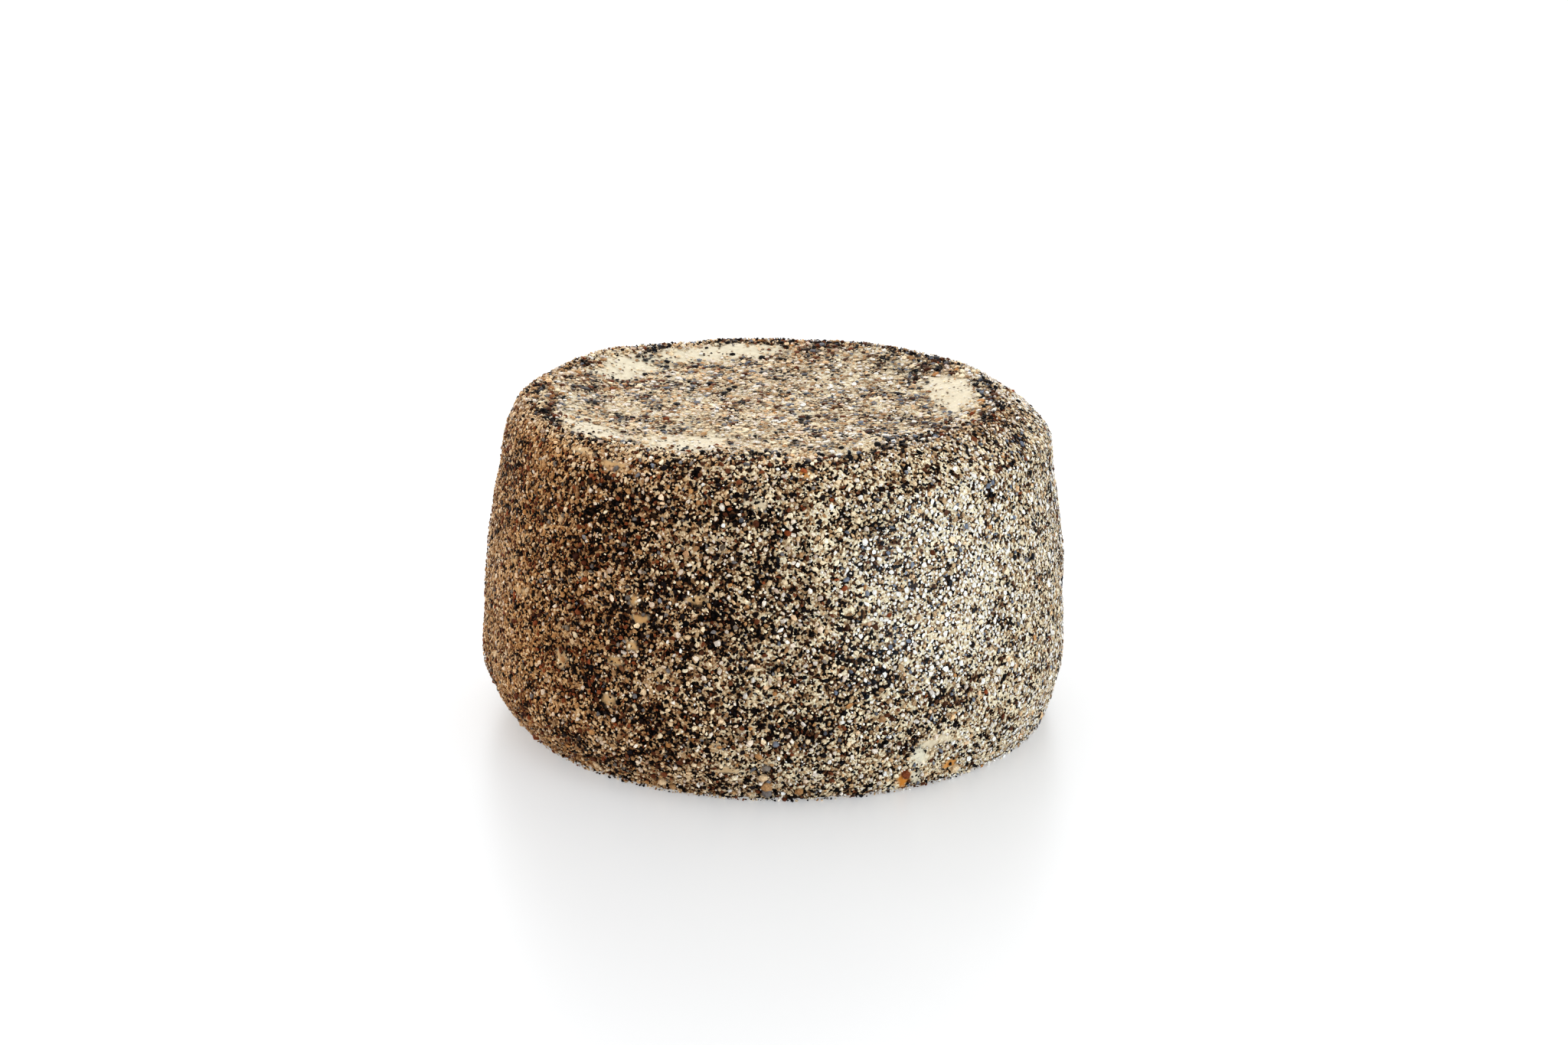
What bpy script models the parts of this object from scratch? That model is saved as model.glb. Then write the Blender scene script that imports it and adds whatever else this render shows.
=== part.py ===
"""A small whole cheese wheel, rolled all over in coarsely ground pepper.

Metres, +Z up. The wheel stands on its flat underside, with the origin under its middle,
and -Y is the side that shows at the front. Rind, dished top, and the largest of the
grains and crumbs that stick to it are one closed solid.

A place on the rind is given by an angle round the wheel, 0 at the front and 90 degrees
at +X, and by a station along the turned profile: 0 to 1 is the lower edge, 1 to 2 the
side, 2 to 3 the shoulder, 3 to 4 the rim with its inner slope, 4 to 5 the dish floor.
"""

import math

import bmesh
import bpy
import numpy as np
from mathutils import Vector
from mathutils.geometry import delaunay_2d_cdt

MM = 0.001

# Driving dimensions of the turned profile
HEIGHT = 55.5 * MM
BELLY_RADIUS = 50.0 * MM
BASE_RADIUS = 46.7 * MM
BELLY_HEIGHT = 12.6 * MM
SHOULDER_RADIUS = 46.0 * MM
SHOULDER_HEIGHT = 49.2 * MM
CREST_RADIUS = 39.5 * MM
RIM_INNER_RADIUS = 38.0 * MM
DISH_FLOOR_RADIUS = 27.0 * MM
DISH_DEPTH = 1.9 * MM
DISH_CROWN = 0.3 * MM
FRONT_DISH_LOSS = 0.65
SIDE_CURVE = 1.7

# Pulls of the smooth curves: the lower edge leaves the foot steeply and ends upright at the
# belly, and the shoulder leaves the side in line with it and ends level at the crest.
FOOT_PULL_OUT = 0.07
FOOT_PULL_UP = 0.10
BELLY_PULL = 0.66
SHOULDER_PULL = 1.5 * MM
CREST_PULL = 2.5 * MM

# How the wheel departs from a true round: its left foot is lower, narrower and softer, its
# top leans to the left, its left side stands a little higher, and the dish is shallower at
# the front.
LEFT_BELLY_DROP = 1.9 * MM
LEFT_BASE_LOSS = 1.9 * MM
LEFT_PULL_LOSS = 0.20
SIDE_SHIFT = 0.87 * MM
BASE_SHIFT = 0.70 * MM
CREST_SHIFT = -2.07 * MM
TOP_TILT = 0.008

# Unevenness of the rind: size of the waves, how far they reach, and their seed
BROAD_WAVES = (26.0 * MM, 0.22 * MM, 11)
HAND_WAVES = (9.0 * MM, 0.10 * MM, 12)
WAVE_SPREAD = (0.7, 1.5)
CLUMP_RELIEF = 0.30 * MM
COATING_DEPTH = 0.25 * MM
BARE_PATCH_DEPTH = 0.35 * MM

# Patches on the inner slope of the rim that the pepper missed:
# angle in degrees, radius, half length in degrees, half width
BARE_PATCHES = (
    (-22.0, 32.5 * MM, 14.0, 6.0 * MM),
    (-51.0, 35.5 * MM, 14.0, 2.6 * MM),
    (-129.0, 32.5 * MM, 15.0, 3.6 * MM),
    (-168.0, 33.8 * MM, 24.0, 3.2 * MM),
    (98.0, 31.8 * MM, 27.0, 4.0 * MM),
)
# How sharply a patch ends, the stations over which the top's patches set in, and the station
# by which the unevenness has its full reach
PATCH_EDGE = 1.6
PATCHES_FROM = (2.8, 3.0)
CALM_FOOT = 0.5

# Steps along the form that its normals are taken from
SMALL_STEP = 0.01
TINY = 1e-12

# The mesh of the rind: rings of points up to the dish floor, and points apart on the floor
AROUND = 120
STATIONS = (
    [i / 6 for i in range(1, 7)]
    + [1 + i / 14 for i in range(1, 15)]
    + [2 + i / 6 for i in range(1, 7)]
    + [3 + i / 5 for i in range(1, 6)]
)
FLOOR_SPACING = 2.5 * MM
RING_CLEARANCE = 0.6
MERGE_DISTANCE = 1e-6

# Grains and crumbs that are large enough to be modelled one by one
SEED = 7
GRAIN_COUNT = 56
GRAIN_SIZE = (1.15 * MM, 1.65 * MM)
GRAIN_STATIONS = (0.45, 4.9)
GRAIN_SINK = 0.12
FOOT_CLEARANCE = 0.55
GRAIN_WIDTH = (0.7, 0.95)
GRAIN_THICKNESS = (0.75, 0.95)
CORNER_JITTER = (0.82, 1.0)
FOOT_CRUMB_COUNT = 14
FOOT_CRUMB_SIZE = (1.5 * MM, 2.3 * MM)
FOOT_CRUMB_RISE = (0.7, 1.6)
FOOT_CRUMB_GAP = (0.1, 0.9)
SEAM_ANGLE = -2.2
SEAM_HEIGHT = 11.0 * MM
SEAM_CRUMB_COUNT = 6
SEAM_CRUMB_SIZE = (1.4 * MM, 2.6 * MM)
SEAM_SWAY = 0.8
SEAM_FOOT_RISE = 0.6
SEAM_SPACING = 1.3
LONE_CRUMBS = (  # angle in degrees, height, size: the brown crumb and two lumps at the foot
    (26.0, 3.2 * MM, 2.6 * MM),
    (-23.2, 2.0 * MM, 2.4 * MM),
    (-60.0, 1.9 * MM, 2.2 * MM),
)
GOLDEN_ANGLE = math.pi * (3 - math.sqrt(5))
EVEN_SHARE = (0.3, 0.7)
ANGLE_JITTER = 0.1
PROFILE_SAMPLES = 600


def waves(points, wavelength, reach, seed, count=20):
    """A smooth, seeded unevenness at these points: many plane waves in random directions."""
    rng = np.random.default_rng(seed)
    heading = rng.normal(size=(count, 3))
    heading /= np.linalg.norm(heading, axis=1)[:, None]
    rate = 2 * np.pi / (wavelength * rng.uniform(*WAVE_SPREAD, count))
    phase = rng.uniform(0, 2 * np.pi, count)
    total = np.sin(points @ (heading * rate[:, None]).T + phase).sum(axis=1)
    return reach * total / math.sqrt(count / 2)


def curve(share, start, start_pull, end_pull, end):
    """A smooth curve from start to end, drawn towards two pulls on its way."""
    rest = 1 - share
    near = rest**3 * start + 3 * rest * rest * share * start_pull
    return near + 3 * rest * share * share * end_pull + share**3 * end


def turned(angle, station):
    """Radius and height of the round profile, before it is made uneven."""
    left = (1 - np.sin(angle)) / 2
    belly = BELLY_HEIGHT - LEFT_BELLY_DROP * left
    base = BASE_RADIUS - LEFT_BASE_LOSS * left
    pull = BELLY_PULL - LEFT_PULL_LOSS * left

    up = np.clip(station, 0, 1)
    foot_pull = base + FOOT_PULL_OUT * (BELLY_RADIUS - base)
    edge_r = curve(up, base, foot_pull, BELLY_RADIUS, BELLY_RADIUS)
    edge_z = curve(up, 0, FOOT_PULL_UP * belly, pull * belly, belly)

    rise = np.clip(station - 1, 0, 1)
    side_r = BELLY_RADIUS + (SHOULDER_RADIUS - BELLY_RADIUS) * rise**SIDE_CURVE
    side_z = belly + (SHOULDER_HEIGHT - belly) * rise

    over = np.clip(station - 2, 0, 1)
    lean = (BELLY_RADIUS - SHOULDER_RADIUS) * SIDE_CURVE / (SHOULDER_HEIGHT - belly)
    leaning = SHOULDER_RADIUS - lean * SHOULDER_PULL
    rising = SHOULDER_HEIGHT + SHOULDER_PULL
    shoulder_r = curve(over, SHOULDER_RADIUS, leaning, CREST_RADIUS + CREST_PULL, CREST_RADIUS)
    shoulder_z = curve(over, SHOULDER_HEIGHT, rising, HEIGHT, HEIGHT)

    front = (1 + np.cos(angle)) ** 2 / 4
    raised = DISH_DEPTH * FRONT_DISH_LOSS * front
    inward = np.clip(station - 3, 0, 1)
    rim_r = CREST_RADIUS + (DISH_FLOOR_RADIUS - CREST_RADIUS) * inward
    slope = np.clip((RIM_INNER_RADIUS - rim_r) / (RIM_INNER_RADIUS - DISH_FLOOR_RADIUS), 0, 1)
    rim_z = HEIGHT - (DISH_DEPTH - raised) * slope * slope * (3 - 2 * slope)

    middle = np.clip(station - 4, 0, 1)
    floor_r = DISH_FLOOR_RADIUS * (1 - middle)
    floor_z = HEIGHT - DISH_DEPTH + DISH_CROWN * middle + raised * (1 - middle)

    stretch = [station <= 1, station <= 2, station <= 3, station <= 4]
    radius = np.select(stretch, [edge_r, side_r, shoulder_r, rim_r], floor_r)
    height = np.select(stretch, [edge_z, side_z, shoulder_z, rim_z], floor_z)
    return radius, height, belly


def rind_points(angle, station):
    """Points on the lopsided but smooth form."""
    radius, height, belly = turned(angle, station)
    x = radius * np.sin(angle)
    y = -radius * np.cos(angle)
    z = height * (1 - TOP_TILT * x / HEIGHT)
    x = x + SIDE_SHIFT * height / HEIGHT
    x = x + BASE_SHIFT * np.clip(1 - height / belly, 0, 1)
    above = (height - SHOULDER_HEIGHT) / (HEIGHT - SHOULDER_HEIGHT)
    x = x + CREST_SHIFT * np.clip(above, 0, 1)
    return np.stack([x, y, z], axis=-1)


def outward(angle, station):
    """Unit normals of the smooth form."""
    after, before = np.minimum(station + SMALL_STEP, 5), station - SMALL_STEP
    along = rind_points(angle, after) - rind_points(angle, before)
    across = rind_points(angle + SMALL_STEP, station) - rind_points(angle - SMALL_STEP, station)
    normal = np.cross(across, along)
    length = np.linalg.norm(normal, axis=-1)
    return normal / np.maximum(length, TINY)[..., None]


def bareness(angle, radius):
    """1 in the middle of a patch without pepper, 0 outside all of them."""
    most = np.zeros(np.shape(angle))
    for where, at_radius, half_length, half_width in BARE_PATCHES:
        turn = np.degrees((angle - math.radians(where) + np.pi) % (2 * np.pi) - np.pi)
        away = np.hypot(turn / half_length, (radius - at_radius) / half_width)
        most = np.maximum(most, np.clip(PATCH_EDGE * (1 - away), 0, 1))
    return most


def uneven_points(angle, station):
    """Points of the rind below the outermost grains, with its waves and its bare patches."""
    points = rind_points(angle, station)
    radius = turned(angle, station)[0]
    lift = waves(points, *BROAD_WAVES) + waves(points, *HAND_WAVES) - COATING_DEPTH
    first, full = PATCHES_FROM
    on_top = np.clip((station - first) / (full - first), 0, 1)
    lift = lift - BARE_PATCH_DEPTH * bareness(angle, radius) * on_top
    lift = lift * np.clip(station / CALM_FOOT, 0, 1)
    return points + outward(angle, station) * lift[:, None]


def make_material():
    """The mean colour of ground pepper with cheese between the grains, matt."""
    material = bpy.data.materials.new("peppered_rind")
    material.use_nodes = True
    shader = material.node_tree.nodes["Principled BSDF"]
    shader.inputs["Base Color"].default_value = (0.27, 0.22, 0.16, 1.0)
    shader.inputs["Roughness"].default_value = 0.7
    shader.inputs["Metallic"].default_value = 0.0
    return material


def floor_places():
    """Angles and stations of the dish floor's own points, in staggered rows."""
    row_step = FLOOR_SPACING * math.sqrt(3) / 2
    half = int(DISH_FLOOR_RADIUS / row_step) + 1
    places = []
    for row in range(-half, half + 1):
        for column in range(-half, half + 1):
            x = (column + 0.5 * (row % 2)) * FLOOR_SPACING
            y = row * row_step
            radius = math.hypot(x, y)
            if radius < DISH_FLOOR_RADIUS - RING_CLEARANCE * FLOOR_SPACING:
                places.append((math.atan2(x, -y), 5 - radius / DISH_FLOOR_RADIUS))
    return np.array(places)


def floor_faces(angles, places):
    """Triangles that join the floor's points to the last ring, by their places in the ring's order."""
    angle = np.concatenate([angles, places[:, 0]])
    radius = np.concatenate([np.ones(len(angles)), 5 - places[:, 1]])
    flat = [Vector((r * math.sin(a), -r * math.cos(a))) for a, r in zip(angle, radius, strict=True)]
    ring = list(range(len(angles)))
    return delaunay_2d_cdt(flat, [], [ring], 1, MERGE_DISTANCE)[2]


def ring_angles(ring):
    """The angles of one ring's points. Every other ring is turned by half a step."""
    return (np.arange(AROUND) + 0.5 * (ring % 2)) * 2 * np.pi / AROUND


def strip_faces(ring):
    """The triangles between a ring and the next one up."""
    low = ring * AROUND
    high = low + AROUND
    for i in range(AROUND):
        j = (i + 1) % AROUND
        if ring % 2:
            yield (low + i, high + j, high + i)
            yield (low + i, low + j, high + j)
        else:
            yield (low + i, low + j, high + i)
            yield (low + j, high + j, high + i)


def make_rind(material):
    """The closed body: a flat underside, rings of points up the side, and the dish floor."""
    rng = np.random.default_rng(SEED)
    foot = rind_points(ring_angles(0), np.zeros(AROUND))
    places = floor_places()
    rows = [(ring_angles(ring + 1), np.full(AROUND, s)) for ring, s in enumerate(STATIONS)]
    parts = [foot]
    for angle, station in [*rows, (places[:, 0], places[:, 1])]:
        clumps = rng.uniform(-CLUMP_RELIEF, CLUMP_RELIEF, (len(angle), 1))
        parts.append(uneven_points(angle, station) + outward(angle, station) * clumps)
    parts.append(foot.mean(axis=0)[None])
    points = np.concatenate(parts)

    last = len(STATIONS)
    base = len(points) - 1
    faces = [(base, (i + 1) % AROUND, i) for i in range(AROUND)]
    for ring in range(last):
        faces.extend(strip_faces(ring))
    for face in floor_faces(ring_angles(last), places):
        faces.append(tuple(last * AROUND + corner for corner in face))

    mesh = bpy.data.meshes.new("cheese_wheel")
    mesh.from_pydata([tuple(p) for p in points], [], faces)
    mesh.materials.append(material)
    mesh.update()
    wheel = bpy.data.objects.new("cheese_wheel", mesh)
    bpy.context.scene.collection.objects.link(wheel)
    return wheel


def station_at_height(angle, height):
    """The station on the lower edge or the side that lies at this height."""
    stations = np.linspace(0, 2, PROFILE_SAMPLES)
    heights = turned(np.full(PROFILE_SAMPLES, angle), stations)[1]
    return float(np.interp(height, heights, stations))


def spread_evenly(count, first_station, last_station, rng):
    """Places spread evenly over the rind by area, turning by the golden angle each time."""
    stations = np.linspace(first_station, last_station, PROFILE_SAMPLES)
    radius, height, _ = turned(np.zeros(PROFILE_SAMPLES), stations)
    step = np.hypot(np.diff(radius), np.diff(height)) * (radius[1:] + radius[:-1])
    area = np.concatenate([[0], np.cumsum(step)])
    for i in range(count):
        share = (i + rng.uniform(*EVEN_SHARE)) / count
        station = float(np.interp(share * area[-1], area, stations))
        yield i * GOLDEN_ANGLE + rng.uniform(-ANGLE_JITTER, ANGLE_JITTER), station


def add_lump(collection, angle, station, size, rng):
    """One angular grain or crumb, pressed into the rind and clear of the resting face."""
    place = Vector(uneven_points(np.full(1, angle), np.full(1, station))[0])
    normal = Vector(outward(np.full(1, angle), np.full(1, station))[0])
    centre = place - normal * GRAIN_SINK * size
    centre.z = max(centre.z, FOOT_CLEARANCE * size)
    turn = normal.to_track_quat("Z", "Y").to_matrix()
    spin = rng.uniform(0, 2 * math.pi)
    stretch = Vector((1.0, rng.uniform(*GRAIN_WIDTH), rng.uniform(*GRAIN_THICKNESS)))
    bm = bmesh.new()
    bmesh.ops.create_icosphere(bm, subdivisions=1, radius=size / 2)
    for corner in bm.verts:
        flat = corner.co * rng.uniform(*CORNER_JITTER) * stretch
        x = flat.x * math.cos(spin) - flat.y * math.sin(spin)
        y = flat.x * math.sin(spin) + flat.y * math.cos(spin)
        corner.co = centre + turn @ Vector((x, y, flat.z))
    mesh = bpy.data.meshes.new("grain")
    bm.to_mesh(mesh)
    bm.free()
    collection.objects.link(bpy.data.objects.new("grain", mesh))


def add_grains(collection, rng):
    """The largest pepper grains, evenly over the side, the shoulder and the top."""
    for angle, station in spread_evenly(GRAIN_COUNT, *GRAIN_STATIONS, rng):
        add_lump(collection, angle, station, rng.uniform(*GRAIN_SIZE), rng)


def add_foot_crumbs(collection, rng):
    """Crumbs that gathered where the side meets the surface below."""
    for i in range(FOOT_CRUMB_COUNT):
        angle = (i + rng.uniform(*FOOT_CRUMB_GAP)) * 2 * math.pi / FOOT_CRUMB_COUNT
        size = rng.uniform(*FOOT_CRUMB_SIZE)
        station = station_at_height(angle, rng.uniform(*FOOT_CRUMB_RISE) * size)
        add_lump(collection, angle, station, size, rng)


def add_seam_crumbs(collection, rng):
    """A faint upright seam at the front, a row of crumbs that ends in a lump at the foot."""
    for i in range(SEAM_CRUMB_COUNT):
        share = (i / (SEAM_CRUMB_COUNT - 1)) ** SEAM_SPACING
        size = SEAM_CRUMB_SIZE[1] + (SEAM_CRUMB_SIZE[0] - SEAM_CRUMB_SIZE[1]) * share
        angle = math.radians(SEAM_ANGLE + rng.uniform(-SEAM_SWAY, SEAM_SWAY))
        station = station_at_height(angle, SEAM_FOOT_RISE * size + SEAM_HEIGHT * share)
        add_lump(collection, angle, station, size, rng)


def add_lone_crumbs(collection, rng):
    for degrees, height, size in LONE_CRUMBS:
        angle = math.radians(degrees)
        add_lump(collection, angle, station_at_height(angle, height), size, rng)


def fuse(wheel, collection):
    """Joins the collection's lumps to the wheel in one solid and removes the lumps."""
    union = wheel.modifiers.new("grains", "BOOLEAN")
    union.operation = "UNION"
    union.operand_type = "COLLECTION"
    union.collection = collection
    union.solver = "EXACT"
    graph = bpy.context.evaluated_depsgraph_get()
    joined = bpy.data.meshes.new_from_object(wheel.evaluated_get(graph))
    wheel.modifiers.remove(union)
    wheel.data = joined
    for lump in list(collection.objects):
        bpy.data.objects.remove(lump, do_unlink=True)
    bpy.data.collections.remove(collection)


def put_middle_on_origin(wheel):
    """Moves the mesh so that the middle of its box is over the origin."""
    places = np.array([v.co for v in wheel.data.vertices])
    middle = (places.min(axis=0) + places.max(axis=0)) / 2
    for corner in wheel.data.vertices:
        corner.co.x -= middle[0]
        corner.co.y -= middle[1]


def main():
    for old in list(bpy.data.objects):
        bpy.data.objects.remove(old, do_unlink=True)
    rng = np.random.default_rng(SEED + 1)
    wheel = make_rind(make_material())
    lumps = bpy.data.collections.new("grains")
    bpy.context.scene.collection.children.link(lumps)
    add_grains(lumps, rng)
    add_foot_crumbs(lumps, rng)
    add_seam_crumbs(lumps, rng)
    add_lone_crumbs(lumps, rng)
    fuse(wheel, lumps)
    put_middle_on_origin(wheel)
    wheel.data.name = "cheese_wheel"


main()
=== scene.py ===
"""The looks of a small cheese wheel that is rolled all over in coarsely ground pepper.

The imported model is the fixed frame. The wheel's node is replaced by a core of cheese paste
with pepper dust in it, and by the pepper itself, real grains at true size, one piece for
each kind. Everything is in metres, +Z up, and -Y is the side that shows at the front.

A place on the rind is given by an angle round the wheel, 0 at the front and 90 degrees at
+X, and by a station along the turned profile: -1 to 0 is the underside, 0 to 1 the lower
edge, 1 to 2 the side, 2 to 3 the shoulder, 3 to 4 the rim with its inner slope, 4 to 5 the
dish floor.
"""

import math

import bmesh
import bpy
import numpy as np
from bpy.props import FloatProperty, FloatVectorProperty, IntProperty, PointerProperty
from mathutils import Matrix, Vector


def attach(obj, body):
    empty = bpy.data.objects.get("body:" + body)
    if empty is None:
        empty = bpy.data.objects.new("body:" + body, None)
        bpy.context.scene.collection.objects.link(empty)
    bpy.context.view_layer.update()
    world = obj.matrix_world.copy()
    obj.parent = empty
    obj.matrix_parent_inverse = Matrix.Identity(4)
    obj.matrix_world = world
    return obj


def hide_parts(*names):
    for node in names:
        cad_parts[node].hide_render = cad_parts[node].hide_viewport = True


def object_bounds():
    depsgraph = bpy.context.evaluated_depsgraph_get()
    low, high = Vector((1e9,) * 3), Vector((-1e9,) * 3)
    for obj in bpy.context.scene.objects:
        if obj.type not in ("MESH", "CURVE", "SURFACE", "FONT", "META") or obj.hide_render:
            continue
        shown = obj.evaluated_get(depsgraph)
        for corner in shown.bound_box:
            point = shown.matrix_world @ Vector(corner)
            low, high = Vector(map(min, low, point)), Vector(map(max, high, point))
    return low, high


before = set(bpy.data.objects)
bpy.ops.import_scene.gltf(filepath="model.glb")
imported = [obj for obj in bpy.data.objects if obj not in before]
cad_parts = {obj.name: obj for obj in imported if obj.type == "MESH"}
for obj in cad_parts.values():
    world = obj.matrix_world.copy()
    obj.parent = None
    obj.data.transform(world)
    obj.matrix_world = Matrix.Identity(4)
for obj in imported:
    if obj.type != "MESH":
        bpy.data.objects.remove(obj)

CAD_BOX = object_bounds()

bl_info = {
    "name": "Peppered cheese wheel",
    "version": (1, 0, 0),
    "blender": (4, 5, 0),
    "location": "3D View > Sidebar > Cheese",
    "description": "Builds a cheese wheel coated in coarsely ground pepper, and its studio",
    "category": "Add Mesh",
}

MM = 0.001
NODE = "cheese_wheel"

# The form, as in the solid
HEIGHT = 55.5 * MM
BELLY_RADIUS = 50.0 * MM
BASE_RADIUS = 46.7 * MM
BELLY_HEIGHT = 12.6 * MM
SHOULDER_RADIUS = 46.0 * MM
SHOULDER_HEIGHT = 49.2 * MM
CREST_RADIUS = 39.5 * MM
RIM_INNER_RADIUS = 38.0 * MM
DISH_FLOOR_RADIUS = 27.0 * MM
DISH_DEPTH = 1.9 * MM
DISH_CROWN = 0.3 * MM
FRONT_DISH_LOSS = 0.65
SIDE_CURVE = 1.7
FOOT_PULL_OUT = 0.07
FOOT_PULL_UP = 0.10
BELLY_PULL = 0.66
SHOULDER_PULL = 1.5 * MM
CREST_PULL = 2.5 * MM
LEFT_BELLY_DROP = 1.9 * MM
LEFT_BASE_LOSS = 1.9 * MM
LEFT_PULL_LOSS = 0.20
SIDE_SHIFT = 0.87 * MM
BASE_SHIFT = 0.70 * MM
CREST_SHIFT = -2.07 * MM
TOP_TILT = 0.008
BROAD_WAVES = (26.0 * MM, 0.22 * MM, 11)
HAND_WAVES = (9.0 * MM, 0.10 * MM, 12)
WAVE_SPREAD = (0.7, 1.5)
COATING_DEPTH = 0.25 * MM
BARE_PATCH_DEPTH = 0.35 * MM
BARE_PATCHES = (  # angle in degrees, radius, half length in degrees, half width
    (-22.0, 32.5 * MM, 14.0, 6.0 * MM),
    (-51.0, 35.5 * MM, 14.0, 2.6 * MM),
    (-129.0, 32.5 * MM, 15.0, 3.6 * MM),
    (-168.0, 33.8 * MM, 24.0, 3.2 * MM),
    (98.0, 31.8 * MM, 27.0, 4.0 * MM),
)

# The grains and crumbs that are part of the solid, with the same draws
LUMP_SEED = 8
GRAIN_COUNT = 56
GRAIN_SIZE = (1.15 * MM, 1.65 * MM)
GRAIN_SINK = 0.12
FOOT_CRUMB_COUNT = 14
FOOT_CRUMB_SIZE = (1.5 * MM, 2.3 * MM)
SEAM_ANGLE = -2.2
SEAM_HEIGHT = 11.0 * MM
SEAM_CRUMB_COUNT = 6
SEAM_CRUMB_SIZE = (1.4 * MM, 2.6 * MM)
LONE_CRUMBS = (
    (26.0, 3.2 * MM, 2.6 * MM),
    (-23.2, 2.0 * MM, 2.4 * MM),
    (-60.0, 1.9 * MM, 2.2 * MM),
)
GOLDEN_ANGLE = math.pi * (3 - math.sqrt(5))

# Places on the side where the paste shows: angle in degrees, station, half width, half length
# along the profile, and its stain: 0 is plain paste, 0.6 is tan and 1 is orange-brown
SIDE_SPOTS = (
    (28.3, 0.60, 1.9 * MM, 2.8 * MM, 0.0),
    (31.5, 0.76, 3.9 * MM, 1.4 * MM, 0.15),
    (28.2, 0.32, 1.7 * MM, 1.9 * MM, 0.05),
    (25.8, 0.30, 1.5 * MM, 2.6 * MM, 1.0),
    (36.5, 0.36, 1.6 * MM, 1.3 * MM, 0.9),
    (60.0, 0.30, 1.4 * MM, 1.6 * MM, 0.85),
    (-35.0, 2.50, 3.0 * MM, 1.1 * MM, 0.55),
    (-44.0, 2.62, 3.4 * MM, 0.8 * MM, 0.45),
    (-25.5, 1.50, 1.5 * MM, 1.2 * MM, 0.65),
    (-27.2, 1.57, 0.8 * MM, 1.2 * MM, 0.65),
    (-27.5, 1.38, 1.4 * MM, 0.9 * MM, 0.60),
    (-31.0, 1.30, 1.5 * MM, 1.0 * MM, 0.60),
    (-44.0, 1.25, 1.7 * MM, 1.7 * MM, 0.50),
    (-32.0, 1.12, 1.9 * MM, 1.2 * MM, 0.55),
    (-58.5, 1.46, 2.6 * MM, 1.0 * MM, 0.55),
    (-63.0, 1.56, 2.2 * MM, 0.8 * MM, 0.60),
    (-15.0, 1.60, 1.9 * MM, 1.0 * MM, 0.55),
    (-4.0, 2.06, 2.2 * MM, 0.8 * MM, 0.20),
    (7.5, 2.60, 1.4 * MM, 0.8 * MM, 0.85),
    (-9.0, 0.65, 2.8 * MM, 0.9 * MM, 0.45),
    (-24.0, 0.57, 0.8 * MM, 1.8 * MM, 0.60),
)

# Where dark bits gather, or pale ones where the last value is below 0: angle in degrees,
# station, half width in degrees, half length in stations, and how strongly
GATHERINGS = (
    (-30.0, 1.40, 18.0, 1.20, 0.25),
    (14.0, 1.85, 11.0, 0.32, -0.45),
    (-12.0, 1.56, 6.0, 0.16, 0.35),
    (-49.0, 0.80, 9.0, 0.22, 0.40),
    (3.0, 1.05, 7.0, 0.12, 0.35),
    (3.0, 0.62, 10.0, 0.25, -0.30),
    (-8.0, 1.27, 10.0, 0.12, -0.32),
    (-12.0, 2.10, 9.0, 0.20, -0.30),
    (-25.0, 1.00, 8.0, 0.18, 0.30),
    (-37.0, 0.42, 9.0, 0.25, 0.30),
    (-24.0, 1.78, 7.0, 0.12, -0.30),
    (-70.0, 2.05, 12.0, 0.30, 0.35),
    (31.0, 1.18, 8.0, 0.14, 0.25),
    (34.0, 1.43, 9.0, 0.12, -0.30),
    (43.0, 2.85, 9.0, 0.25, 0.35),
    (63.0, 2.70, 17.0, 0.50, 1.10),
    (80.0, 4.40, 40.0, 0.60, 0.40),
    (-112.0, 3.50, 13.0, 0.50, 0.60),
    (122.0, 3.40, 13.0, 0.40, 0.60),
    (172.0, 3.40, 14.0, 0.50, 0.75),
    (-90.0, 4.60, 40.0, 0.30, -0.30),
)

# Single bits that stand out: angle in degrees, station, size, kind, tone and warmth
LONE_BITS = (
    (13.0, 1.65, 1.3 * MM, "brown_husks", 0.75, 0.90),
    (1.5, 1.66, 1.1 * MM, "brown_husks", 0.60, 0.85),
    (2.0, 1.89, 1.2 * MM, "brown_husks", 0.70, 0.80),
    (-27.5, 1.83, 1.2 * MM, "brown_husks", 0.55, 0.90),
    (13.5, 1.15, 1.4 * MM, "tan_bits", 0.60, 0.95),
    (-2.0, 1.00, 1.2 * MM, "brown_husks", 0.65, 0.70),
    (4.0, 0.95, 1.3 * MM, "tan_bits", 0.45, 0.70),
    (-10.0, 0.94, 1.1 * MM, "tan_bits", 0.70, 0.90),
    (3.5, 1.27, 1.1 * MM, "brown_husks", 0.60, 0.75),
    (0.0, 1.22, 1.0 * MM, "tan_bits", 0.55, 0.90),
    (7.5, 2.63, 1.2 * MM, "brown_husks", 0.90, 1.00),
    (-16.5, 1.30, 1.5 * MM, "cream_kernels", 0.90, 0.15),
    (48.0, 1.11, 1.8 * MM, "black_husks", 0.10, 0.00),
    (-14.0, 1.53, 1.6 * MM, "black_husks", 0.05, 0.00),
    (-16.5, 1.50, 1.5 * MM, "black_husks", 0.05, 0.10),
    (-41.0, 1.70, 1.7 * MM, "brown_husks", 0.15, 0.40),
    (0.5, 3.08, 1.6 * MM, "black_husks", 0.10, 0.00),
    (42.0, 2.66, 1.6 * MM, "black_husks", 0.15, 0.00),
    (35.0, 2.72, 1.4 * MM, "black_husks", 0.20, 0.00),
    (122.0, 3.30, 2.6 * MM, "black_husks", 0.15, 0.30),
    (124.5, 3.42, 2.0 * MM, "brown_husks", 0.20, 0.40),
)

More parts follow.
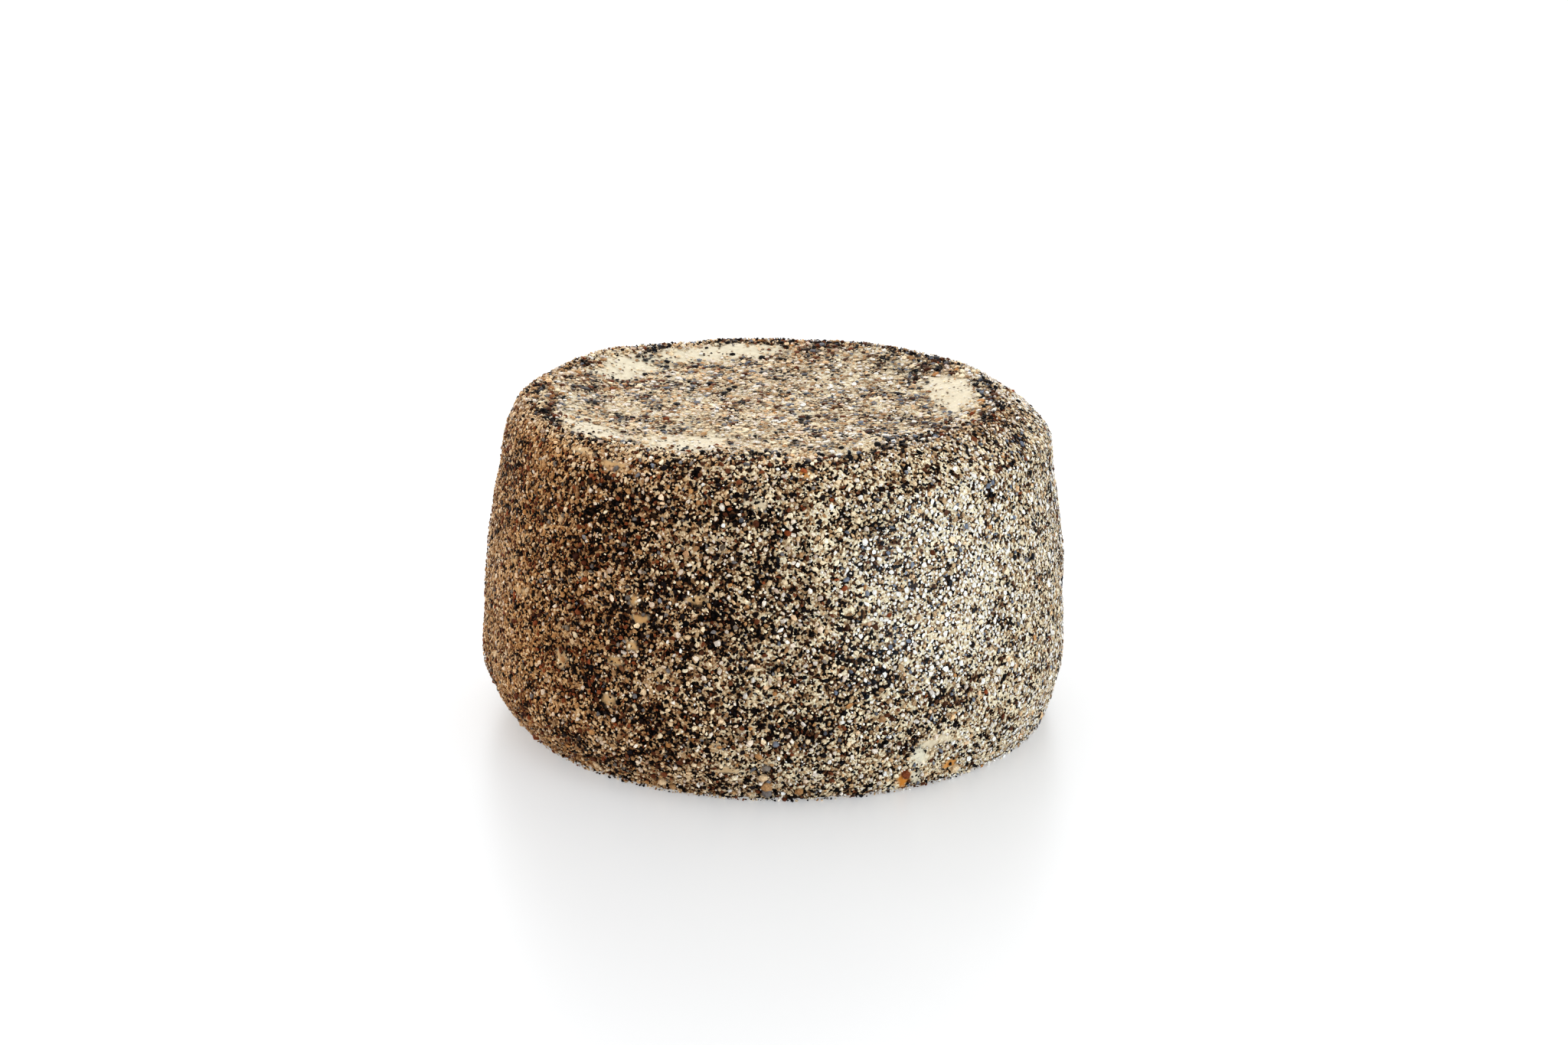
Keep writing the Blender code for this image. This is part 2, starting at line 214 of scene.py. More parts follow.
# The packing of the grains: share of the tries and size range, from coarse to fine
SIZE_CLASSES = (
    (0.02, 0.95 * MM, 1.35 * MM),
    (0.10, 0.70 * MM, 0.95 * MM),
    (0.34, 0.50 * MM, 0.70 * MM),
    (0.33, 0.36 * MM, 0.50 * MM),
    (0.21, 0.27 * MM, 0.36 * MM),
)
# How much coarser the top is, the least sizes of the two fuller forms of grain, the share of
# the tries that stay on the underside, and the share that go where it is bare
TOP_COARSENESS = 1.3
COARSE = 0.80 * MM
MEDIUM = 0.52 * MM
UNDERSIDE_SHARE = 0.35
BARE_SHARE = 0.95
PATCH_SPREAD = 1.25

# Kinds of grain: shares on the side and on the top, seed, four colours, roughness and specular
# level. The pulls say how much more of the kind there is, as powers of e, where dark bits
# gather, for fine grains, at the left, under the oil, at the right, where dark bits gather
# on the rim, and in the browner places. The pulls under the oil and at the right, towards
# pale, cool grains and away from dark ones, are painted sheen and painted cool light; the
# pulls at the left are partly painted warm shade
KINDS = {
    "black_husks": {
        "shares": (0.270, 0.070),
        "seed": 21,
        "dark": (0.002, 0.002, 0.002),
        "pale": (0.012, 0.013, 0.018),
        "dark_warm": (0.006, 0.003, 0.002),
        "pale_warm": (0.032, 0.014, 0.006),
        "roughness": 0.36,
        "specular": 0.04,
        "pulls": (1.0, 0.5, -0.5, -1.4, 0.0, -0.5, 0.0),
    },
    "cream_kernels": {
        "shares": (0.25, 0.305),
        "seed": 22,
        "dark": (0.46, 0.32, 0.18),
        "pale": (0.92, 0.83, 0.62),
        "dark_warm": (0.40, 0.22, 0.10),
        "pale_warm": (0.82, 0.54, 0.30),
        "roughness": 0.50,
        "specular": 0.06,
        "pulls": (-0.9, -0.2, 0.0, -0.5, -0.6, 0.0, 0.0),
    },
    "pale_kernels": {
        "shares": (0.185, 0.23),
        "seed": 26,
        "dark": (0.48, 0.41, 0.35),
        "pale": (0.90, 0.88, 0.82),
        "dark_warm": (0.42, 0.23, 0.12),
        "pale_warm": (0.86, 0.60, 0.36),
        "roughness": 0.48,
        "specular": 0.06,
        "pulls": (-0.9, 0.0, -0.6, 1.0, 0.5, 0.0, 0.0),
    },
    "tan_bits": {
        "shares": (0.09, 0.16),
        "seed": 23,
        "dark": (0.19, 0.105, 0.055),
        "pale": (0.48, 0.32, 0.175),
        "dark_warm": (0.18, 0.070, 0.026),
        "pale_warm": (0.54, 0.27, 0.10),
        "roughness": 0.50,
        "specular": 0.06,
        "pulls": (-0.5, 0.0, 1.1, -0.5, 0.0, 0.9, 0.0),
    },
    # Bluish grey bits, drawn mostly under the oil and at the right, partly as painted sheen and cool light
    "grey_bits": {
        "shares": (0.07, 0.08),
        "seed": 24,
        "dark": (0.030, 0.034, 0.044),
        "pale": (0.22, 0.24, 0.29),
        "dark_warm": (0.06, 0.035, 0.018),
        "pale_warm": (0.26, 0.18, 0.10),
        "roughness": 0.45,
        "specular": 0.10,
        "pulls": (0.4, 0.0, 0.0, 0.6, 0.2, 0.0, 0.0),
    },
    "brown_husks": {
        "shares": (0.115, 0.065),
        "seed": 25,
        "dark": (0.014, 0.005, 0.003),
        "pale": (0.12, 0.050, 0.025),
        "dark_warm": (0.034, 0.008, 0.004),
        "pale_warm": (0.32, 0.085, 0.028),
        "roughness": 0.42,
        "specular": 0.05,
        "pulls": (0.5, 0.0, 0.7, -0.9, 0.0, 0.9, 1.0),
    },
}

GRAIN_COLOURS = {
    "Dark": "dark",
    "Pale": "pale",
    "Dark warm": "dark_warm",
    "Pale warm": "pale_warm",
}
# A grain counts as fine below the first size and not at all above the second
FINE_SIZES = (0.3 * MM, 0.5 * MM)

# Uneven dark and pale places of the coating, and brownness: wavelength, reach and seed. The streaks are
# waves on a round of the rub radius, which is smaller than the wheel and so draws them out
SIDE_PATCHES = ((1.5 * MM, 0.42, 31), (10.0 * MM, 0.12, 32))
SIDE_STREAKS = (4.0 * MM, 0.15, 36)
TOP_PATCHES = ((2.6 * MM, 0.30, 37), (9.0 * MM, 0.35, 38))
TOP_STREAKS = (3.0 * MM, 0.55, 39)
BROWN_PATCHES = (5.0 * MM, 0.6, 33)
RUB_RADIUS = 14.0 * MM
# How much paler the coating is drawn at the right, the far left, the shoulder and the foot. At the right
# this is painted light from the softbox; at the far left and the foot it partly paints the light that
# brightens them
RIGHT_PAINTED_LIGHT = 0.62
LEFT_PALER = 0.50
SHOULDER_PALER = 0.35
FOOT_PALER = 0.20

# The upright folds, painted as shade on their flanks and as highlight on their ridges: middle and reach in
# degrees and stations, waves, and how dark they are
FOLD_MIDDLE = (4.0, 2.0)
FOLD_REACH = (14.0, 0.45)
FOLD_WAVES = (4.5 * MM, 1.0, 46)
FOLD_PAINTED_SHADE = 0.22

# How much of the left's warmth fades, between these angles to the left of the front
LEFT_FADING = 0.75
LEFT_FADE = (60, 115)

# Ragged edges of the bare places: wavelength, reach and seed
COARSE_EDGE = (2.5 * MM, 0.20, 34)
FINE_EDGE = (0.9 * MM, 0.14, 35)
DRAWN_EDGE = (1.6 * MM, 0.16, 44)
THIN_PLACES = (12.0 * MM, 1.0, 45)
THINNESS = 0.12
TOP_RAGGEDNESS = 0.8

# How much a gathering covers a bare patch, and the values between which a place turns bare
COVERING = 0.6
SIDE_BARE = (0.25, 0.55)
TOP_BARE = (0.06, 0.48)

# The film of oil: its strength, where its middle is, in degrees and stations, and its reach. Under it the
# grains are also drawn paler and cooler, which is a painted sheen
FILM_WEIGHT = 0.16
FILM_MIDDLE = (33.0, 1.60)
FILM_REACH = (16.0, 0.42)
FILM_EDGE = (6.0 * MM, 0.15, 43)

# How far the tops of the grains lie above the form, in millimetres, how much of that is lost
# where they are rubbed flat, and how much lower fine ones lie, fully so below the first size
SINK = (-0.26, 0.06)
SINK_LOSS = 0.6
FINE_SINK = 0.10 * MM
FINE_SINK_SIZES = (0.4 * MM, 0.9 * MM)

# How flat the grains are rubbed, 0 to 1: at the least, under the oil, at the far left and
# right, on the top and on the underside
RUBBED = 0.15
RUBBED_FILM = 0.75
RUBBED_LEFT = 0.55
RUBBED_RIGHT = 0.65
RUBBED_TOP = 0.65
RUBBED_UNDERSIDE = 0.5

# The form of a grain: how far its corners are from its middle, how uneven they are, and its
# width and thickness as shares of its length
CORNER_REACH = (0.78, 1.12)
GRAIN_JITTER = 0.13
GRAIN_WIDTH = (0.5, 1)
GRAIN_THICKNESS = (0.4, 0.9)

# The solid's lumps as grains: how far out their corners stay, and their tone and warmth
LUMP_REACH = (0.92, 1.0)
LUMP_TONE = (0.3, 0.8)
LUMP_WARMTH = (0.3, 0.9)

# Middle and spread of tone and warmth, and the share of grains with an odd warmth
TONE = (0.58, 0.28)
WARMTH = (0.30, 0.16)
ODD_SHARE = 0.06
ODD_WARMTH = (0.85, 1.0)
# What a place adds to the middle tone, to the spread of tone and to the warmth. The right's cooler, calmer
# tones are painted cool light, and the film's paler, cooler, calmer tones are painted sheen
TOP_SHIFT = (-0.07, -0.15, -0.08)
PAINTED_COOL_LIGHT_SHIFT = (-0.05, -0.11, -0.28)
PAINTED_SHEEN_SHIFT = (0.06, -0.05, -0.45)
# What the left and the dark bits on the rim add to the warmth; at the left this is partly browner coating
# and partly painted warm shade
LEFT_WARMTH = 0.42
RIM_WARMTH = 0.5

# The core's relief: seed, wavelength and the waves' seed, how far it rises where it is bare,
# how much flatter it is there, and how dark or pale the coating is where its dust is most so
CORE_SEED = 41
CORE_WAVELENGTH = 2.0 * MM
CORE_WAVE_SEED = 42
BARE_RISE = 0.12 * MM
BARE_FLATNESS = 0.8
SHADE_REACH = 1.1

# The camera that matches the photograph: distance in front, height, pitch down, turn to +X,
# focal length in pixels and width of the image
CAMERA_DISTANCE = 438.1 * MM
CAMERA_HEIGHT = 169.9 * MM
CAMERA_PITCH = 0.3046
CAMERA_TURN = 0.0045
FOCAL_PIXELS = 3500.0
IMAGE_WIDTH = 2048.0
SENSOR_WIDTH = 36.0

# The softbox, and where the surroundings are bright
WINDOW_ANGLE = math.radians(47)
WINDOW_DISTANCE = 0.80
WINDOW_HEIGHT = 0.17
WINDOW_SIZE = (0.75, 0.32)
WINDOW_COLOUR = (0.72, 0.87, 1.0)
BRIGHT_SIDE = (-0.30, 0.52, 0.78)
DIM_END = -0.25
BRIGHT_END = 0.95
FLOOR_HALF = 4.0


class RindSettings(bpy.types.PropertyGroup):
    """The core of cheese paste under the pepper."""

    depth: FloatProperty(
        name="Depth",
        description="How far the core lies below the tops of the grains",
        default=0.55 * MM,
        unit="LENGTH",
        precision=5,
    )
    spacing: FloatProperty(
        name="Mesh spacing",
        description="Distance between the core's points",
        default=0.72 * MM,
        unit="LENGTH",
        precision=5,
    )
    relief: FloatProperty(
        name="Relief",
        description="How far the core's fine relief reaches",
        default=0.10 * MM,
        unit="LENGTH",
        precision=5,
    )
    paste: FloatVectorProperty(
        name="Paste",
        description="Colour of the bare cheese paste",
        default=(0.61, 0.54, 0.405),
        subtype="COLOR",
        min=0,
        max=1,
    )


class GrainSettings(bpy.types.PropertyGroup):
    """The ground pepper."""

    tries: IntProperty(
        name="Tries",
        description="How many places are tried for a grain. More tries fill smaller gaps",
        default=250000,
        min=1000,
    )
    room: FloatProperty(
        name="Room",
        description="Least distance between two grains, as a share of the sum of their radii",
        default=0.75,
        min=0.3,
        max=1.5,
        subtype="FACTOR",
    )
    seed: IntProperty(name="Seed", description="Seed of the packing", default=5)


class StageSettings(bpy.types.PropertyGroup):
    """Floor, lights and surroundings."""

    floor_colour: FloatVectorProperty(
        name="Floor",
        description="Colour of the floor",
        default=(0.36, 0.36, 0.36),
        subtype="COLOR",
        min=0,
        max=1,
    )
    dim: FloatProperty(
        name="Front light", description="Strength of the surroundings in front", default=0.40, min=0
    )
    bright: FloatProperty(
        name="Back light", description="Strength of the surroundings above and behind", default=1.60, min=0
    )
    window: FloatProperty(
        name="Window", description="Power of the softbox at the right, in watts", default=4.8, min=0
    )


# Form of the wheel


def waves(points, wavelength, reach, seed, count=20):
    """A smooth, seeded unevenness at these points: many plane waves in random directions."""
    rng = np.random.default_rng(seed)
    heading = rng.normal(size=(count, 3))
    heading /= np.linalg.norm(heading, axis=1)[:, None]
    rate = 2 * np.pi / (wavelength * rng.uniform(*WAVE_SPREAD, count))
    phase = rng.uniform(0, 2 * np.pi, count)
    total = np.sin(points @ (heading * rate[:, None]).T + phase).sum(axis=1)
    return reach * total / math.sqrt(count / 2)


def curve(share, start, start_pull, end_pull, end):
    """A smooth curve from start to end, drawn towards two pulls on its way."""
    rest = 1 - share
    near = rest**3 * start + 3 * rest * rest * share * start_pull
    return near + 3 * rest * share * share * end_pull + share**3 * end


def turned(angle, station):
    """Radius and height of the round profile, and the height of the belly."""
    left = (1 - np.sin(angle)) / 2
    belly = BELLY_HEIGHT - LEFT_BELLY_DROP * left
    base = BASE_RADIUS - LEFT_BASE_LOSS * left
    pull = BELLY_PULL - LEFT_PULL_LOSS * left

    up = np.clip(station, 0, 1)
    foot_pull = base + FOOT_PULL_OUT * (BELLY_RADIUS - base)
    edge_r = curve(up, base, foot_pull, BELLY_RADIUS, BELLY_RADIUS)
    edge_r = np.where(station < 0, base * (1 + station), edge_r)
    edge_z = curve(up, 0, FOOT_PULL_UP * belly, pull * belly, belly)

    rise = np.clip(station - 1, 0, 1)
    side_r = BELLY_RADIUS + (SHOULDER_RADIUS - BELLY_RADIUS) * rise**SIDE_CURVE
    side_z = belly + (SHOULDER_HEIGHT - belly) * rise

    over = np.clip(station - 2, 0, 1)
    lean = (BELLY_RADIUS - SHOULDER_RADIUS) * SIDE_CURVE / (SHOULDER_HEIGHT - belly)
    leaning = SHOULDER_RADIUS - lean * SHOULDER_PULL
    rising = SHOULDER_HEIGHT + SHOULDER_PULL
    shoulder_r = curve(over, SHOULDER_RADIUS, leaning, CREST_RADIUS + CREST_PULL, CREST_RADIUS)
    shoulder_z = curve(over, SHOULDER_HEIGHT, rising, HEIGHT, HEIGHT)

    front = (1 + np.cos(angle)) ** 2 / 4
    raised = DISH_DEPTH * FRONT_DISH_LOSS * front
    inward = np.clip(station - 3, 0, 1)
    rim_r = CREST_RADIUS + (DISH_FLOOR_RADIUS - CREST_RADIUS) * inward
    slope = np.clip((RIM_INNER_RADIUS - rim_r) / (RIM_INNER_RADIUS - DISH_FLOOR_RADIUS), 0, 1)
    rim_z = HEIGHT - (DISH_DEPTH - raised) * slope * slope * (3 - 2 * slope)

    middle = np.clip(station - 4, 0, 1)
    floor_r = DISH_FLOOR_RADIUS * (1 - middle)
    floor_z = HEIGHT - DISH_DEPTH + DISH_CROWN * middle + raised * (1 - middle)

    stretch = [station <= 1, station <= 2, station <= 3, station <= 4]
    radius = np.select(stretch, [edge_r, side_r, shoulder_r, rim_r], floor_r)
    height = np.select(stretch, [edge_z, side_z, shoulder_z, rim_z], floor_z)
    return radius, height, belly


def rind_points(angle, station):
    """Points on the lopsided but smooth form."""
    radius, height, belly = turned(angle, station)
    x = radius * np.sin(angle)
    y = -radius * np.cos(angle)
    z = height * (1 - TOP_TILT * x / HEIGHT)
    x = x + SIDE_SHIFT * height / HEIGHT
    x = x + BASE_SHIFT * np.clip(1 - height / belly, 0, 1)
    above = (height - SHOULDER_HEIGHT) / (HEIGHT - SHOULDER_HEIGHT)
    x = x + CREST_SHIFT * np.clip(above, 0, 1)
    return np.stack([x, y, z], axis=-1)


def outward(angle, station):
    """Unit normals of the smooth form."""
    step = 0.01
    after = np.minimum(station + step, 5)
    before = np.where(station < 0, np.maximum(station - step, -1), station - step)
    along = rind_points(angle, after) - rind_points(angle, before)
    across = np.stack([np.cos(angle), np.sin(angle), np.zeros(np.shape(angle))], axis=-1)
    normal = np.cross(across, along)
    length = np.linalg.norm(normal, axis=-1)
    return normal / np.maximum(length, 1e-12)[..., None]


def degrees_from(angle, where):
    """How far each angle is from a place round the wheel, in degrees from -180 to 180."""
    return np.degrees((angle - math.radians(where) + np.pi) % (2 * np.pi) - np.pi)


def ramp(value, low, high):
    """0 below low, 1 above high, and even in between."""
    return np.clip((value - low) / (high - low), 0, 1)


def topness(station):
    """1 on the top, 0 on the side and below."""
    return ramp(station, 3.0, 3.5)


def top_bareness(angle, station, spread):
    """1 in the middle of a bare patch of the top, 0 outside. With a spread of 1, as in the solid."""
    radius, height, _ = turned(angle, station)
    most = np.zeros(np.shape(angle))
    for where, at_radius, half_length, half_width in BARE_PATCHES:
        turn = degrees_from(angle, where)
        away = np.hypot(turn / half_length, (radius - at_radius) / half_width) / spread
        most = np.maximum(most, np.clip(1.6 - 1.6 * away, 0, 1) * ramp(station, 2.8, 3.0))
    return np.where(station > 2.5, most, 0)


def bareness(angle, station, points):
    """How bare each place is, 0 to 1, with ragged edges drawn out along the way round."""
    spot = spots(angle, station)[0]
    ragged = waves(points, *COARSE_EDGE) + waves(points, *FINE_EDGE)
    drawn = streaks(angle, station, *DRAWN_EDGE)
    side = ramp(spot + ragged, *SIDE_BARE) * (spot > 0.02)
    covered = COVERING * np.maximum(gathered(angle, station), 0)
    patch = top_bareness(angle, station, PATCH_SPREAD) - covered
    thin = ramp(station, 3.0, 3.3) * (station < 4.3) * THINNESS * ramp(waves(points, *THIN_PLACES), 0, 1)
    top = ramp(patch + thin + TOP_RAGGEDNESS * ragged + drawn, *TOP_BARE) * (patch + thin > 0.015)
    return np.maximum(side, top)


def spots(angle, station):
    """How bare the side is from its small spots, and how stained the paste is there."""
    most, tan = np.zeros(np.shape(angle)), np.zeros(np.shape(angle))
    radius, height, _ = turned(angle, station)
    for where, at_station, half_width, half_length, how_tan in SIDE_SPOTS:
        turn = (angle - math.radians(where) + np.pi) % (2 * np.pi) - np.pi
        at = turned(np.full(1, math.radians(where)), np.full(1, at_station))
        along = np.hypot(radius - at[0], height - at[1])
        away = np.hypot(turn * radius / half_width, along / half_length)
        here = np.where((station > 0) & (np.abs(turn) < 1), np.clip(1.7 - 1.7 * away, 0, 1), 0)
        tan = np.where(here > most, how_tan, tan)
        most = np.maximum(most, here)
    return most, tan


def unevenness(points, station):
    """How far the hand-made form lies above the smooth one, 0 on the resting face."""
    lift = waves(points, *BROAD_WAVES) + waves(points, *HAND_WAVES)
    return lift * np.clip(station / 0.5, 0, 1)


def middle_shift():
    """What puts the middle of the smooth form's box over the origin, as in the solid."""
    angle, station = np.meshgrid(np.linspace(0, 2 * np.pi, 721), np.linspace(0, 3, 121))
    points = rind_points(angle.ravel(), station.ravel())
    return -(points[:, 0].min() + points[:, 0].max()) / 2


def area_stations(shares, first, last, steps):
    """The stations that have these shares of the rind's area below them."""
    stations = np.linspace(first, last, steps)
    radius, height, _ = turned(np.zeros(steps), stations)
    step = np.hypot(np.diff(radius), np.diff(height)) * (radius[1:] + radius[:-1])
    area = np.concatenate([[0], np.cumsum(step)])
    return np.interp(shares * area[-1], area, stations)


# The lumps that are fused to the solid


def station_at_height(angle, height):
    """The station on the side that lies at this height."""
    stations = np.linspace(0, 2, 600)
    heights = turned(np.full(600, angle), stations)[1]
    return float(np.interp(height, heights, stations))


def spread_evenly(count, first_station, last_station, rng):
    """Places spread evenly over the rind by area, turning by the golden angle each time."""
    for i in range(count):
        share = (i + rng.uniform(0.3, 0.7)) / count
        station = float(area_stations(share, first_station, last_station, 600))
        yield i * GOLDEN_ANGLE + rng.uniform(-0.1, 0.1), station


def corners_and_faces(bm):
    """The corners and the faces of a bmesh as arrays. It frees the bmesh."""
    corners = np.array([v.co for v in bm.verts])
    faces = np.array([[v.index for v in f.verts] for f in bm.faces])
    bm.free()
    return corners, faces


def make_lump(angle, station, size, rng, kind):
    """One of the solid's own lumps: centre, size and corners, with the solid's draws."""
    at, on = np.full(1, angle), np.full(1, station)
    smooth = rind_points(at, on)
    normal = outward(at, on)[0]
    depth = COATING_DEPTH + BARE_PATCH_DEPTH * top_bareness(at, on, 1.0)
    lift = unevenness(smooth, on) - depth * np.clip(on / 0.5, 0, 1)
    centre = Vector(smooth[0] + normal * lift) - Vector(normal) * GRAIN_SINK * size
    centre.z = max(centre.z, 0.55 * size)
    turn = Vector(normal).to_track_quat("Z", "Y").to_matrix()
    spin = rng.uniform(0, 2 * math.pi)
    stretch = Vector((1.0, rng.uniform(0.7, 0.95), rng.uniform(0.75, 0.95)))
    bm = bmesh.new()
    bmesh.ops.create_icosphere(bm, subdivisions=1, radius=size / 2)
    for corner in bm.verts:
        flat = corner.co * rng.uniform(0.82, 1.0) * stretch
        x = flat.x * math.cos(spin) - flat.y * math.sin(spin)
        y = flat.x * math.sin(spin) + flat.y * math.cos(spin)
        corner.co = centre + turn @ Vector((x, y, flat.z))
    bmesh.ops.triangulate(bm, faces=bm.faces)
    bmesh.ops.subdivide_edges(bm, edges=bm.edges, cuts=1, use_grid_fill=True)
    corners, faces = corners_and_faces(bm)
    return {
        "centre": np.array(centre),
        "size": size,
        "corners": corners,
        "faces": faces,
        "kind": kind,
    }


def solid_lumps():
    """Every lump of the solid, in the solid's order, each with a kind of grain."""
    rng = np.random.default_rng(LUMP_SEED)
    pick = np.random.default_rng(LUMP_SEED + 1)
    lumps = []
    for angle, station in spread_evenly(GRAIN_COUNT, 0.45, 4.9, rng):
        kind = pick.choice(list(KINDS))
        lumps.append(make_lump(angle, station, rng.uniform(*GRAIN_SIZE), rng, kind))
    for i in range(FOOT_CRUMB_COUNT):
        angle = (i + rng.uniform(0.1, 0.9)) * 2 * math.pi / FOOT_CRUMB_COUNT
        size = rng.uniform(*FOOT_CRUMB_SIZE)
        station = station_at_height(angle, rng.uniform(0.7, 1.6) * size)
        kind = pick.choice(["tan_bits", "brown_husks", "grey_bits", "cream_kernels"])
        lumps.append(make_lump(angle, station, size, rng, kind))
    for i in range(SEAM_CRUMB_COUNT):
        share = (i / (SEAM_CRUMB_COUNT - 1)) ** 1.3
        size = SEAM_CRUMB_SIZE[1] + (SEAM_CRUMB_SIZE[0] - SEAM_CRUMB_SIZE[1]) * share
        angle = math.radians(SEAM_ANGLE + rng.uniform(-0.8, 0.8))
        station = station_at_height(angle, 0.6 * size + SEAM_HEIGHT * share)
        kind = ("grey_bits", "tan_bits", "cream_kernels")[i % 3]
        lumps.append(make_lump(angle, station, size, rng, kind))
    for (degrees, height, size), kind in zip(
        LONE_CRUMBS, ("brown_husks", "cream_kernels", "brown_husks"), strict=True
    ):
        angle = math.radians(degrees)
        station = station_at_height(angle, height)
        lumps.append(make_lump(angle, station, size, rng, kind))
    return lumps


# Packing of the grains


def packed(points, reach, taken, room, sure):
    """Which of these grains find room, tried in their own order, beside what is taken.

    The first ones, as many as are sure, are placed whatever is beside them.
    """
    cell = 2 * room * max(reach.max(), max(r for _, r in taken))
    grid = {}

    def home(place):
        return int(place[0] // cell), int(place[1] // cell), int(place[2] // cell)

    for place, radius in taken:
        grid.setdefault(home(place), []).append((*place, radius))
    around = [(i, j, k) for i in (0, -1, 1) for j in (0, -1, 1) for k in (0, -1, 1)]
    kept = []
    rows = zip(points.tolist(), reach.tolist(), strict=True)
    for number, ((x, y, z), radius) in enumerate(rows):
        a, b, c = home((x, y, z))
        free = True
        for i, j, k in around if number >= sure else ():
            for u, v, w, other in grid.get((a + i, b + j, c + k), ()):
                least = room * (radius + other)
                if (x - u) ** 2 + (y - v) ** 2 + (z - w) ** 2 < least * least:
                    free = False
                    break
            if not free:
                break
        if free:
            kept.append(number)
            grid.setdefault((a, b, c), []).append((x, y, z, radius))
    return np.array(kept)


def choose_kinds(points, angle, station, size, rng):
    """The kind of each grain, drawn from the kinds' shares and pulls at its place."""
    top = topness(station)
    shares = np.array([kind["shares"] for kind in KINDS.values()])
    weight = shares[None, :, 0] * (1 - top[:, None]) + shares[None, :, 1] * top[:, None]
    reasons = (
        darkness_and_painted_light(points, angle, station),
        1 - ramp(size, *FINE_SIZES),
        leftness(angle, station),
        oil_film_and_sheen(angle, station),
        painted_cool_light(angle) * (1 - top),
        rim_gathering(angle, station),
        waves(points, *BROWN_PATCHES),
    )
    pulls = np.array([kind["pulls"] for kind in KINDS.values()])
    weight = weight * np.exp(np.stack(reasons, axis=1) @ pulls.T)
    share = np.cumsum(weight / weight.sum(axis=1)[:, None], axis=1)
    return (rng.random(len(points))[:, None] > share[:, :-1]).sum(axis=1)


def streaks(angle, station, wavelength, reach, seed):
    """Waves that are drawn out along the way round, as a hand rubs the coating in."""
    radius, height, _ = turned(angle, station)
    around = np.stack([radius - height, RUB_RADIUS * np.sin(angle), RUB_RADIUS * np.cos(angle)], axis=-1)
    return waves(around, wavelength, reach, seed)


def painted_fold_shading(angle, station):
    """Painted shade and highlight of upright folds high on the front of the side, 1 on their shaded flanks
    and -1 on their lit ridges.
    """
    turn = degrees_from(angle, 0)
    beside = np.clip(1.5 - np.abs(turn - FOLD_MIDDLE[0]) / FOLD_REACH[0], 0, 1)
    near = beside * np.clip(1.5 - np.abs(station - FOLD_MIDDLE[1]) / FOLD_REACH[1], 0, 1)
    round_the_side = np.stack([BELLY_RADIUS * np.radians(turn), 0.1 * station * HEIGHT, 0 * turn], axis=-1)
    return near * waves(round_the_side, *FOLD_WAVES)


def gathered(angle, station):
    """How strongly dark bits gather at the places where the photograph shows it, below 0 for pale ones."""
    total = np.zeros(np.shape(angle))
    for where, at_station, half_width, half_length, strength in GATHERINGS:
        turn = degrees_from(angle, where)
        away = (turn / half_width) ** 2 + ((station - at_station) / half_length) ** 2
        total += strength * np.exp(-away)
    return total


def rim_gathering(angle, station):
    """How strongly dark bits gather on the shoulder and the top, where they are browner."""
    return np.maximum(gathered(angle, station), 0) * ramp(station, 2.3, 2.9)


def darkness_and_painted_light(points, angle, station):
    """Where dark bits gather, above 0, and where pale ones do, below 0. The paler right and the folds are
    painted light and shade, and the paler far left and foot are partly painted light.
    """
    side = (
        sum(waves(points, *patches) for patches in SIDE_PATCHES)
        + streaks(angle, station, *SIDE_STREAKS)
        - RIGHT_PAINTED_LIGHT * ramp(np.sin(angle), 0.25, 0.7)
        - LEFT_PALER * ramp(-np.sin(angle), 0.65, 0.95)
        - SHOULDER_PALER * ramp(station, 2.15, 2.6)
        - FOOT_PALER * (1 - ramp(station, 0.8, 1.4))
        + FOLD_PAINTED_SHADE * painted_fold_shading(angle, station)
    )
    top = sum(waves(points, *patches) for patches in TOP_PATCHES) + streaks(angle, station, *TOP_STREAKS)
    above = ramp(station, 2.75, 3.15)
    return side * (1 - above) + top * above + gathered(angle, station)


def painted_cool_light(angle):
    """1 at the right, where the grains are drawn cooler and more even: painted cool light and sheen of the
    softbox.
    """
    return ramp(np.sin(angle), 0.2, 0.7)


def leftness(angle, station):
    """1 at the left of the side, where the coating is browner and its warmth partly paints the warm shade
    there, less so towards the back.
    """
    behind = LEFT_FADING * ramp(-degrees_from(angle, 0), *LEFT_FADE)
    return ramp(-np.sin(angle), 0.0, 0.8) * (1 - behind) * (station > 0) * (1 - ramp(station, 2.5, 3.1))


def oil_film_and_sheen(angle, station):
    """1 high on the right of the side, where a film of oil levels the coating and where paler, cooler
    grains paint the sheen of the softbox.
    """
    turn = degrees_from(angle, FILM_MIDDLE[0])
    away = np.hypot(turn / FILM_REACH[0], (station - FILM_MIDDLE[1]) / FILM_REACH[1])
    uneven = streaks(angle, station, *FILM_EDGE)
    return np.clip(1.6 - away + uneven, 0, 1) * (station > 0)


def smoothness(angle, station):
    """How flat the grains are rubbed: most under the oil, on the top and at the far left and right."""
    side = station < 2.6
    far_left = RUBBED_LEFT * ramp(-np.sin(angle), 0.5, 0.95) * side
    far_right = RUBBED_RIGHT * ramp(np.sin(angle), 0.4, 0.9) * side
    top = RUBBED_TOP * topness(station)
    oiled = RUBBED_FILM * oil_film_and_sheen(angle, station)
    return np.maximum.reduce([np.full_like(top, RUBBED), oiled, far_left, far_right, top])


